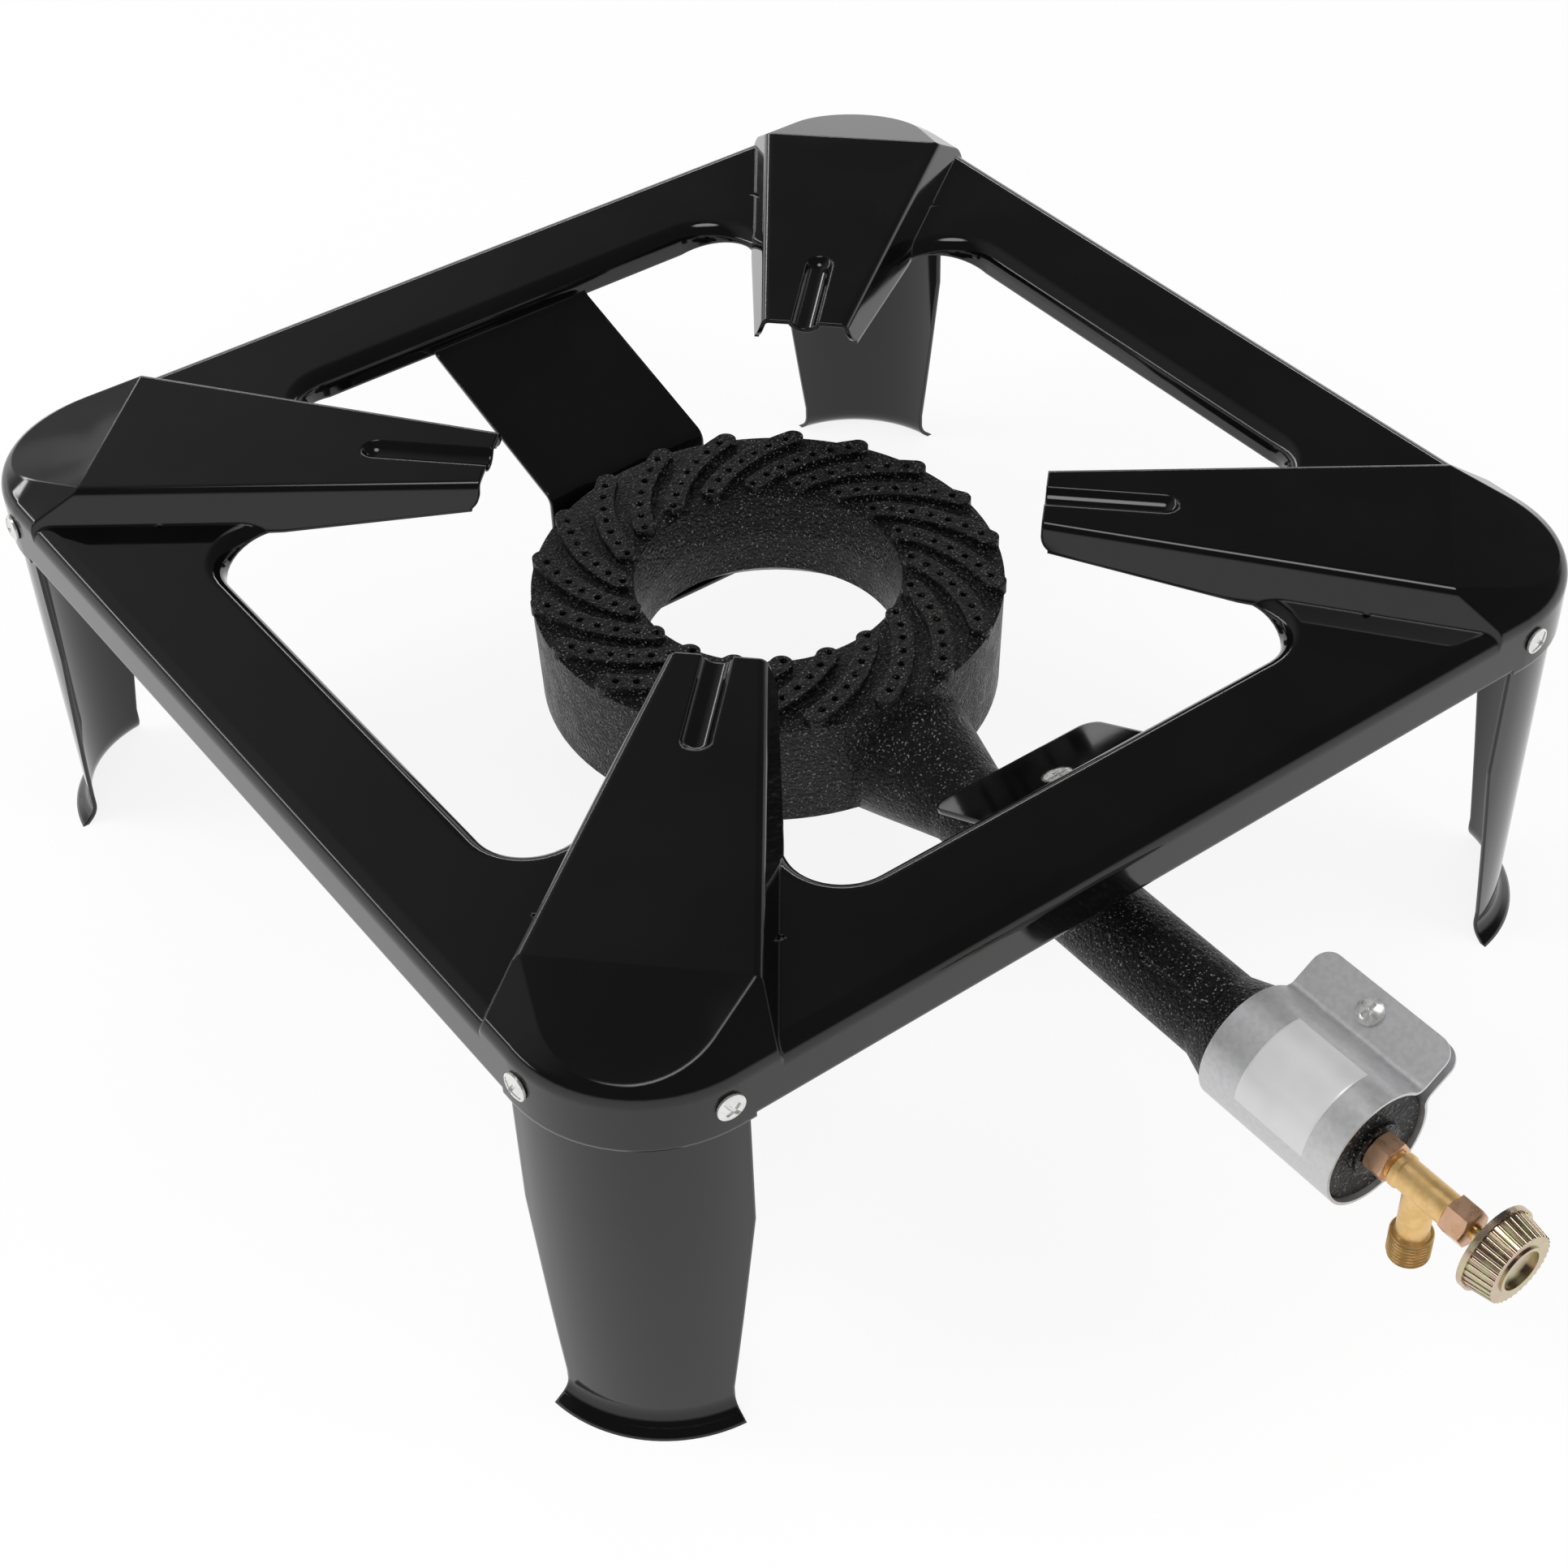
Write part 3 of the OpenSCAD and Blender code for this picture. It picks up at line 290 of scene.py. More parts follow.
@dataclass(frozen=True)
class Finish:
    """A surface finish with two tones, a roughness span and a bump; scales are cells per metre."""

    name: str
    tone: Triple
    dark_tone: Triple
    metallic: float = 0.0
    rough: tuple[float, float] = (0.3, 0.4)
    fine_scale: float = 900.0
    broad_scale: float = 60.0
    broad_share: float = 0.3
    bump: float = 0.1
    bump_depth: float = 0.0002
    specular: float = 0.5
    # Colour, scale and span of the painted highlight glints laid into the base colour
    painted_glint_tone: Triple | None = None
    painted_glint_scale: float = 1000.0
    painted_glint_span: tuple[float, float] = (0.64, 0.7)
    edge_round: float = 0.0
    edge_samples: int = 8

    def material(self) -> bpy.types.Material:
        """Finds or makes the finish's material.

        Returns:
            The material, made on first use.
        """
        found = bpy.data.materials.get(self.name)
        if found:
            return found
        material = bpy.data.materials.new(self.name)
        material.use_nodes = True
        bench = NodeBench(material.node_tree)
        shader = bench.find("BSDF_PRINCIPLED")
        shader.inputs["Metallic"].default_value = self.metallic
        shader.inputs["Specular IOR Level"].default_value = self.specular
        grain = bench.group(
            SharedGroups().grain(),
            Fine_Scale=self.fine_scale, Broad_Scale=self.broad_scale, Broad_Share=self.broad_share,
        )
        bench.link(self.colour(bench, grain.outputs["Mask"]), shader.inputs["Base Color"])
        bench.link(bench.span(grain.outputs["Mask"], 0.0, 1.0, *self.rough), shader.inputs["Roughness"])
        bench.link(self.relief(bench, grain.outputs["Height"]), shader.inputs["Normal"])
        return material

    def colour(self, bench: NodeBench, mask: Socket) -> Socket:
        """Blends the two tones and paints highlight glints over them as colour.

        Args:
            bench: The material's bench.
            mask: Where the lighter tone shows.

        Returns:
            The base colour.
        """
        colour = bench.mix(MixKind.COLOUR, mask, self.dark_tone, self.tone)
        if self.painted_glint_tone:
            low, high = self.painted_glint_span
            # Painted highlights: light glints blended into the base colour
            painted_glints = bench.group(SharedGroups().painted_glints(), Scale=self.painted_glint_scale, Low=low, High=high)
            colour = bench.mix(MixKind.COLOUR, painted_glints.outputs["Mask"], colour, self.painted_glint_tone)
        return colour

    def relief(self, bench: NodeBench, height: Socket) -> Socket:
        """Raises the grain and rounds the edges.

        Args:
            bench: The material's bench.
            height: The grain's height.

        Returns:
            The normal.
        """
        bump = bench.add("ShaderNodeBump")
        bump.inputs["Strength"].default_value = self.bump
        bump.inputs["Distance"].default_value = self.bump_depth
        bench.link(height, bump.inputs["Height"])
        if self.edge_round:
            rounded = bench.add("ShaderNodeBevel", samples=self.edge_samples)
            rounded.inputs["Radius"].default_value = self.edge_round
            bench.link(rounded.outputs["Normal"], bump.inputs["Normal"])
        return bump.outputs["Normal"]


ENAMEL = Finish(
    "black enamel", (0.004, 0.004, 0.0042), (0.003, 0.003, 0.0032), rough=(0.05, 0.09),
    fine_scale=160.0, broad_scale=25.0, broad_share=0.7, bump=0.02, bump_depth=0.0005, edge_round=0.0012,
)
# The cast iron's light specks are painted highlights in its base colour
CAST = Finish(
    "black cast iron", (0.006, 0.006, 0.006), (0.004, 0.004, 0.004), rough=(0.32, 0.42),
    fine_scale=760.0, broad_scale=140.0, broad_share=0.1, bump=1.0, bump_depth=0.0014, specular=0.22,
    painted_glint_tone=(0.24, 0.24, 0.23), painted_glint_scale=1300.0, edge_round=0.001,
)
SHEET_ZINC = Finish(
    "galvanised sheet", (0.66, 0.66, 0.67), (0.6, 0.6, 0.61), metallic=0.65, rough=(0.36, 0.44),
    fine_scale=2600.0, broad_scale=500.0, broad_share=0.4, bump=0.1, bump_depth=0.00005,
)
SCREW_ZINC = Finish(
    "bright zinc plate", (0.84, 0.84, 0.82), (0.76, 0.76, 0.75), metallic=0.65, rough=(0.22, 0.32),
    fine_scale=2000.0, broad_scale=500.0, broad_share=0.3, bump=0.1, bump_depth=0.00008,
)
BODY_BRASS = Finish(
    "forged brass", (0.86, 0.58, 0.26), (0.76, 0.49, 0.19), metallic=0.75, rough=(0.34, 0.42),
    fine_scale=1500.0, broad_scale=300.0, broad_share=0.3, bump=0.35, bump_depth=0.0002,
)
TURNED_BRASS = Finish(
    "turned brass", (0.8, 0.56, 0.24), (0.7, 0.46, 0.18), metallic=1.0, rough=(0.18, 0.28),
    fine_scale=1500.0, broad_scale=300.0, broad_share=0.3, bump=0.1, bump_depth=0.0001,
)
NUT_BRONZE = Finish(
    "red brass nut", (0.8, 0.5, 0.33), (0.7, 0.42, 0.26), metallic=0.75, rough=(0.26, 0.36),
    fine_scale=1200.0, broad_scale=260.0, broad_share=0.4, bump=0.15, bump_depth=0.00015,
)
KNOB_ZINC = Finish(
    "yellow zinc plate", (0.6, 0.55, 0.36), (0.56, 0.42, 0.32), metallic=1.0, rough=(0.22, 0.36),
    fine_scale=900.0, broad_scale=170.0, broad_share=0.5, bump=0.15, bump_depth=0.00015,
)
PLATE = Finish(
    "bare foil plate", (0.78, 0.78, 0.78), (0.74, 0.74, 0.74), metallic=0.3, rough=(0.35, 0.42), bump=0.03,
)
PACKING = Finish("gland packing", (0.7, 0.7, 0.66), (0.6, 0.6, 0.56), rough=(0.6, 0.7))


@dataclass(frozen=True)
class PhotoView:
    """The camera, solved from the photograph; places in metres, the lens in millimetres."""

    place: Triple = (-0.421112, -0.531447, 0.698015)
    right: Triple = (0.7931564570061901, -0.6089374831700245, -0.009898297830633923)
    down: Triple = (-0.4177301801436268, -0.5321333499874469, -0.7364343789016848)
    ahead: Triple = (0.4431752828244835, 0.5882425005231203, -0.6764365670716993)
    lens: float = 62.56
    sensor: float = 36.0
    shift: float = -0.0414
    near: float = 0.05
    far: float = 50.0

    def build(self) -> bpy.types.Object:
        """Makes the camera the scene's own.

        Returns:
            The camera.
        """
        data = bpy.data.cameras.new("photo_view")
        data.sensor_width = self.sensor
        data.lens = self.lens
        data.shift_x = self.shift
        data.clip_start = self.near
        data.clip_end = self.far
        camera = bpy.data.objects.new("photo_view", data)
        turn = Matrix((self.right, [-v for v in self.down], [-v for v in self.ahead])).transposed()
        camera.matrix_world = Matrix.Translation(self.place) @ turn.to_4x4()
        bpy.context.scene.collection.objects.link(camera)
        bpy.context.scene.camera = camera
        return camera


@dataclass(frozen=True)
class Lamp:
    """One soft box, aimed at the range, that its gloss doesn't mirror."""

    name: str
    place: Triple
    size: tuple[float, float]
    power: float
    target: Triple = (0.0, 0.05, 0.1)

    def build(self) -> bpy.types.Object:
        """Makes the lamp.

        Returns:
            The lamp.
        """
        data = bpy.data.lights.new(self.name, "AREA")
        data.shape = "RECTANGLE"
        data.size, data.size_y = self.size
        data.energy = self.power
        lamp = bpy.data.objects.new(self.name, data)
        lamp.visible_glossy = False
        lamp.location = self.place
        aim = Vector(self.target) - Vector(self.place)
        lamp.rotation_mode = "QUATERNION"
        lamp.rotation_quaternion = aim.to_track_quat("-Z", "Y")
        bpy.context.scene.collection.objects.link(lamp)
        return lamp


@dataclass
class Studio:
    """The pale floor, the soft boxes and the surroundings, whose spans are parts of a unit direction."""

    lamps: list[Lamp] = field(
        default_factory=lambda: [
            Lamp("key_box", (-1.3, 0.9, 1.6), (1.0, 1.0), 14.0),
            Lamp("fill_box", (0.9, -1.4, 1.3), (1.2, 0.8), 8.0),
            Lamp("front_box", (-1.2, -1.3, 0.9), (0.7, 0.9), 5.0),
        ]
    )
    floor_half: float = 6.0
    floor_tone: Triple = (0.85, 0.85, 0.85)
    floor_rough: float = 0.9
    floor_glow: float = 1.07
    glow_share: float = 0.8
    soft_light: float = 0.55
    seen_light: float = 1.0
    horizon_span: tuple[float, float] = (0.02, 0.3)
    horizon_light: float = 1.0
    overhead: float = 0.08
    strip_height: float = 0.35
    strip_span: tuple[float, float] = (0.01, 0.03)
    strip_light: float = 8.0
    strip_side: tuple[float, float] = (0.25, 0.5)
    top_span: tuple[float, float] = (0.97, 0.988)
    top_light: float = 5.0
    window_towards: Triple = (-0.3, 0.8, 0.5)
    window_span: tuple[float, float] = (0.62, 0.98)
    window_light: float = 0.25

    def floor(self) -> bpy.types.Object:
        """Makes the floor, white to the eye but for the range's shadow.

        Returns:
            The floor.
        """
        mesh = bpy.data.meshes.new("floor")
        h = self.floor_half
        mesh.from_pydata([(-h, -h, 0), (h, -h, 0), (h, h, 0), (-h, h, 0)], [], [(0, 1, 2, 3)])
        plane = bpy.data.objects.new("floor", mesh)
        bpy.context.scene.collection.objects.link(plane)
        mesh.materials.append(self.floor_material())
        return plane

    def floor_material(self) -> bpy.types.Material:
        """Mixes a pale matt surface with a glow for the rays that see the surroundings.

        Returns:
            The floor's material.
        """
        material = bpy.data.materials.new("pale floor")
        material.use_nodes = True
        bench = NodeBench(material.node_tree)
        shader = bench.find("BSDF_PRINCIPLED")
        shader.inputs["Base Color"].default_value = (*self.floor_tone, 1)
        shader.inputs["Roughness"].default_value = self.floor_rough
        shader.inputs["Specular IOR Level"].default_value = 0.0
        glow = bench.add("ShaderNodeEmission")
        glow.inputs["Color"].default_value = (1, 1, 1, 1)
        glow.inputs["Strength"].default_value = self.floor_glow
        mix = bench.add("ShaderNodeMixShader")
        bench.link(bench.maths("MULTIPLY", self.seen(bench), self.glow_share), mix.inputs[0])
        bench.link(shader.outputs[0], mix.inputs[1])
        bench.link(glow.outputs[0], mix.inputs[2])
        bench.link(mix.outputs[0], bench.find("OUTPUT_MATERIAL").inputs["Surface"])
        return material

    def seen(self, bench: NodeBench) -> Socket:
        """Marks the rays that look at, reflect or let through the surroundings.

        Args:
            bench: The floor material's bench.

        Returns:
            The mask.
        """
        path = bench.add("ShaderNodeLightPath").outputs
        both = bench.maths("MAXIMUM", path["Is Camera Ray"], path["Is Glossy Ray"])
        return bench.maths("MAXIMUM", both, path["Is Transmission Ray"])

    def mirrored_light(self, bench: NodeBench) -> Socket:
        """Gives what glossy pieces mirror: a bright horizon, a window, a thin strip and a top light.

        Args:
            bench: The world's bench.

        Returns:
            The strength of the light from a direction.
        """
        way = bench.add("ShaderNodeTexCoord").outputs["Generated"]
        parts = bench.add("ShaderNodeSeparateXYZ")
        bench.link(way, parts.inputs[0])
        depth, height = parts.outputs["Y"], parts.outputs["Z"]
        horizon = bench.span(height, *self.horizon_span, self.horizon_light, self.overhead)
        facing = bench.add("ShaderNodeVectorMath", operation="DOT_PRODUCT")
        bench.link(way, facing.inputs[0])
        facing.inputs[1].default_value = Vector(self.window_towards).normalized()
        window = bench.span(facing.outputs["Value"], *self.window_span, 0.0, self.window_light)
        off_strip = bench.maths("ABSOLUTE", bench.maths("SUBTRACT", height, self.strip_height))
        line = bench.span(off_strip, *self.strip_span, self.strip_light, 0.0)
        strip = bench.maths("MULTIPLY", line, bench.span(depth, *self.strip_side))
        top = bench.span(height, *self.top_span, 0.0, self.top_light)
        total = horizon
        for part in (window, strip, top):
            total = bench.maths("ADD", total, part)
        return total

    def surroundings(self) -> None:
        """Makes the world: white to the eye, even in its light, and shaped only in reflections."""
        world = bpy.data.worlds.new("studio")
        bpy.context.scene.world = world
        world.use_nodes = True
        bench = NodeBench(world.node_tree)
        back = bench.find("BACKGROUND")
        back.inputs["Color"].default_value = (1, 1, 1, 1)
        path = bench.add("ShaderNodeLightPath").outputs
        lit = bench.mix(MixKind.NUMBER, path["Is Glossy Ray"], self.soft_light, self.mirrored_light(bench))
        strength = bench.mix(MixKind.NUMBER, path["Is Camera Ray"], lit, self.seen_light)
        bench.link(strength, back.inputs["Strength"])

    def build(self) -> None:
        """Makes the floor, the lamps and the world."""
        self.floor()
        for lamp in self.lamps:
            lamp.build()
        self.surroundings()
        bpy.context.scene.view_settings.view_transform = "Standard"
        LOG.info("studio with %d lamps", len(self.lamps))


@dataclass
class MeshForm:
    """Collects the faces of one piece and turns them into an object; the weld is in metres."""

    name: str
    weld: float = 0.000002
    verts: list[Vector] = field(default_factory=list)
    faces: list[tuple[int, ...]] = field(default_factory=list)

    def ring_rows(self, rows: list[list[Vector]], closed: bool = True) -> None:
        """Joins rows of points with quads.

        Args:
            rows: Rows of equally many points.
            closed: Whether each row runs back to its first point.
        """
        start = len(self.verts)
        count = len(rows[0])
        for row in rows:
            self.verts.extend(row)
        for i in range(len(rows) - 1):
            for j in range(count if closed else count - 1):
                k = (j + 1) % count
                low = start + i * count
                high = low + count
                self.faces.append((low + j, low + k, high + k, high + j))

    def cap(self, row: list[Vector]) -> None:
        """Closes a row of points with one face that looks back along the rows.

        Args:
            row: The points in order.
        """
        start = len(self.verts)
        self.verts.extend(row)
        self.faces.append(tuple(start + i for i in reversed(range(len(row)))))

    def build(self, finish: Finish, body: str, sharp: float = 35.0) -> bpy.types.Object:
        """Makes the object.

        Args:
            finish: Its surface.
            body: The CAD body that it rides on.
            sharp: Edges that bend by more degrees than this stay crisp.

        Returns:
            The finished object.
        """
        mesh = bpy.data.meshes.new(self.name)
        mesh.from_pydata([tuple(v) for v in self.verts], [], self.faces)
        work = bmesh.new()
        work.from_mesh(mesh)
        bmesh.ops.remove_doubles(work, verts=work.verts, dist=self.weld)
        bmesh.ops.recalc_face_normals(work, faces=work.faces)
        work.to_mesh(mesh)
        work.free()
        mesh.shade_smooth()
        mesh.set_sharp_from_angle(angle=math.radians(sharp))
        mesh.materials.append(finish.material())
        piece = bpy.data.objects.new(self.name, mesh)
        bpy.context.scene.collection.objects.link(piece)
        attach(piece, body)
        return piece


@dataclass(frozen=True)
class Axis:
    """A place and a direction that turned pieces are drawn along, in millimetres."""

    place: Vector
    along: Vector
    side: Vector

    def across(self) -> Vector:
        """Returns the direction square to the axis and its side."""
        return self.along.cross(self.side)

    def point(self, radius: float, angle: float, station: float) -> Vector:
        """Returns the point in metres at a radius, an angle in radians and a station along the axis."""
        out = self.side * math.cos(angle) + self.across() * math.sin(angle)
        return (self.place + self.along * station + out * radius) * MM

    def moved(self, station: float) -> "Axis":
        """Returns the same axis, starting at a station along it."""
        return Axis(self.place + self.along * station, self.along, self.side)


@dataclass
class Turned:
    """A piece turned about an axis from a section of radius and station."""

    axis: Axis
    section: Outline
    steps: int = 96

    def add_to(self, form: MeshForm) -> None:
        """Adds the turned surface to a form."""
        form.ring_rows([[self.axis.point(r, a, s) for a in turns(self.steps)] for r, s in self.section])


@dataclass
class Thread:
    """A rolled thread as one winding surface."""

    axis: Axis
    radius: float
    start: float
    stop: float
    pitch: float
    depth_share: float = 0.6
    flat_share: float = 0.125
    steps: int = 64
    rows_per_turn: int = 10

    def depth_at(self, turn: float) -> float:
        """Returns how far the surface lies under the crest at a share of one turn."""
        wave = abs((turn % 1.0) * 2.0 - 1.0) * (1.0 + 2.0 * self.flat_share) - self.flat_share
        return self.pitch * self.depth_share * min(max(wave, 0.0), 1.0)

    def add_to(self, form: MeshForm) -> None:
        """Adds the thread's surface to a form.

        Args:
            form: The form that takes it.
        """
        length = self.stop - self.start
        count = max(2, round(length / self.pitch * self.rows_per_turn))
        rows = []
        for i in range(count + 1):
            station = self.start + length * i / count
            row = []
            for j in range(self.steps):
                share = j / self.steps
                radius = self.radius - self.depth_at(station / self.pitch - share)
                row.append(self.axis.point(radius, math.tau * share, station))
            rows.append(row)
        form.ring_rows(rows)


@dataclass
class HexNut:
    """A hexagon nut whose corners are chamfered on one face or both."""

    name: str
    axis: Axis
    flats: float
    height: float
    bore: float
    chamfer: float = 30.0
    circle_share: float = 0.985
    steps: int = 120
    both_faces: bool = True

    def outer(self, angle: float) -> float:
        """Returns the hexagon's radius at an angle."""
        sixth = math.tau / 6
        return self.flats / 2 / math.cos(angle % sixth - sixth / 2)

    def form(self) -> MeshForm:
        """Draws the nut as rings about its axis.

        Returns:
            The mesh form.
        """
        circle = self.flats / 2 * self.circle_share
        fall = math.tan(math.radians(self.chamfer))
        rows: list[list[Vector]] = [[] for _ in range(6)]
        for turn in turns(self.steps):
            outer = self.outer(turn)
            drop = (outer - circle) * fall
            low, flat = (drop, circle) if self.both_faces else (0.0, outer)
            section = (
                (self.bore, 0.0), (flat, 0.0), (outer, low), (outer, self.height - drop),
                (circle, self.height), (self.bore, self.height),
            )
            for row, (radius, station) in zip(rows, section):
                row.append(self.axis.point(radius, turn, station))
        form = MeshForm(self.name)
        form.ring_rows([*rows, rows[0]])
        return form


@dataclass
class FlatPlan:
    """Loops on a flat plan, each at a depth, that are joined with triangles."""

    points: list[Vector] = field(default_factory=list)
    edges: list[tuple[int, int]] = field(default_factory=list)
    depths: list[float] = field(default_factory=list)

    def add_loop(self, outline: Outline, depth: float = 0.0) -> None:
        """Adds a closed loop.

        Args:
            outline: Its points.
            depth: How far it lies under the head's own surface.
        """
        start, count = len(self.points), len(outline)
        self.points.extend(Vector(p) for p in outline)
        self.depths.extend([depth] * count)
        self.edges.extend((start + i, start + (i + 1) % count) for i in range(count))


@dataclass(frozen=True)
class CrossHead:
    """A screw head with a cross recess and a slot, cut as one triangulated face."""

    radius: float
    height: float
    dome: float
    cross_half: float = 0.55
    cross_reach: float = 2.5
    slot_half: float = 0.45
    slot_reach: float = 3.6
    depth: float = 0.9
    wall: float = 0.12
    floor_share: float = 0.3
    floor_depth: float = 1.3
    sunk: float = 0.0
    rim_share: float = 0.35
    rim_edge: float = 0.25
    seat_bore: float = 0.5
    ring_shares: tuple[float, ...] = (1.0, 0.93, 0.8, 0.62, 0.35)
    ring_steps: int = 64
    merge: float = 0.00001

    def level(self, x: float, y: float) -> float:
        """Gives the height of the uncut head.

        Args:
            x: Distance from the middle along the slot.
            y: Distance from the middle across it.

        Returns:
            The height over the seat.
        """
        if not self.dome:
            return self.height
        return self.height - self.dome + math.sqrt(self.dome * self.dome - x * x - y * y)

    def recess(self, grow: float = 0.0) -> Outline:
        """Draws the recess.

        Args:
            grow: A margin all round it.

        Returns:
            The outline of the slot and the cross together.
        """
        c, r = self.cross_half + grow, self.cross_reach + grow
        s, t = self.slot_half + grow, self.slot_reach + grow
        return [
            (t, -s), (t, s), (r, s), (r, c), (c, c), (c, r), (-c, r), (-c, c), (-r, c), (-r, s),
            (-t, s), (-t, -s), (-r, -s), (-r, -c), (-c, -c), (-c, -r), (c, -r), (c, -c), (r, -c), (r, -s),
        ]

    def faces(self) -> tuple[list[Vector], list[tuple[int, ...]]]:
        """Cuts the recess into the head.

        Returns:
            The head's points over its seat, and their faces.
        """
        plan = FlatPlan()
        for share in self.ring_shares:
            reach = self.radius * share
            plan.add_loop([(reach * math.cos(a), reach * math.sin(a)) for a in turns(self.ring_steps)])
        plan.add_loop(self.recess(self.wall))
        plan.add_loop(self.recess(), self.depth)
        floor = [(x * self.floor_share, y * self.floor_share) for x, y in self.recess()]
        plan.add_loop(floor, self.depth * self.floor_depth)
        found, _, faces, origins, _, _ = delaunay_2d_cdt(plan.points, plan.edges, [], 0, self.merge)
        cut_zone = self.recess(self.wall / 2)
        verts = []
        for v, origin in zip(found, origins):
            down = max((plan.depths[o] for o in origin), default=0.0)
            if not down and self.inside(v, cut_zone):
                down = self.depth
            verts.append(Vector((v.x, v.y, self.level(v.x, v.y) - down)))
        return verts, [tuple(f) for f in faces]

    @staticmethod
    def inside(v: Vector, outline: Outline) -> bool:
        """Tests a point against an outline.

        Args:
            v: The point.
            outline: The closed outline.

        Returns:
            Whether the point lies in it.
        """
        odd = False
        for (x1, y1), (x2, y2) in zip(outline, outline[1:] + outline[:1]):
            if (y1 > v.y) != (y2 > v.y) and v.x < (x2 - x1) * (v.y - y1) / (y2 - y1) + x1:
                odd = not odd
        return odd

    def add_to(self, form: MeshForm, axis: Axis) -> None:
        """Adds the head's top and rim to a form.

        Args:
            form: The form that takes it.
            axis: From the seat outwards.
        """
        across = axis.across()
        verts, faces = self.faces()
        start = len(form.verts)
        for v in verts:
            form.verts.append((axis.place + axis.side * v.x + across * v.y + axis.along * v.z) * MM)
        form.faces.extend(tuple(start + i for i in f) for f in faces)
        rim = self.level(self.radius, 0.0)
        section = [
            (self.radius, rim), (self.radius, rim * self.rim_share),
            (self.radius - self.rim_edge, 0.0), (self.seat_bore, 0.0),
        ]
        if self.sunk:
            section = [(self.radius, rim), (self.radius - self.sunk, rim - self.sunk)]
        Turned(axis, section, self.ring_steps).add_to(form)


@dataclass
class CarriedNodes:
    """The CAD nodes, each with its finish."""

    finishes: dict[str, Finish] = field(
        default_factory=lambda: {
            "top_frame": ENAMEL,
            "leg_front_left": ENAMEL,
            "leg_front_right": ENAMEL,
            "leg_rear_left": ENAMEL,
            "leg_rear_right": ENAMEL,
            "leg_screws": SCREW_ZINC,
            "leg_nuts": SCREW_ZINC,
            "burner_casting": CAST,
            "rear_burner_screw": SCREW_ZINC,
            "rear_burner_washer": SCREW_ZINC,
            "front_burner_screw": SCREW_ZINC,
            "air_shutter": SHEET_ZINC,
            "shutter_screw": SCREW_ZINC,
            "shutter_nut": SCREW_ZINC,
            "gas_jet": TURNED_BRASS,
            "lock_nut": NUT_BRONZE,
            "valve_body": BODY_BRASS,
            "gland_packing": PACKING,
            "gland_nut": NUT_BRONZE,
            "spindle": TURNED_BRASS,
            "control_knob": KNOB_ZINC,
        }
    )

    def dress(self, nodes: dict[str, bpy.types.Object]) -> None:
        """Gives every node its finish.

        Args:
            nodes: The CAD nodes by name.
        """
        for name, node in nodes.items():
            finish = self.finishes[name].material()
            node.data.materials.clear()
            node.data.materials.append(finish)
            LOG.info("%s in %s", name, finish.name)


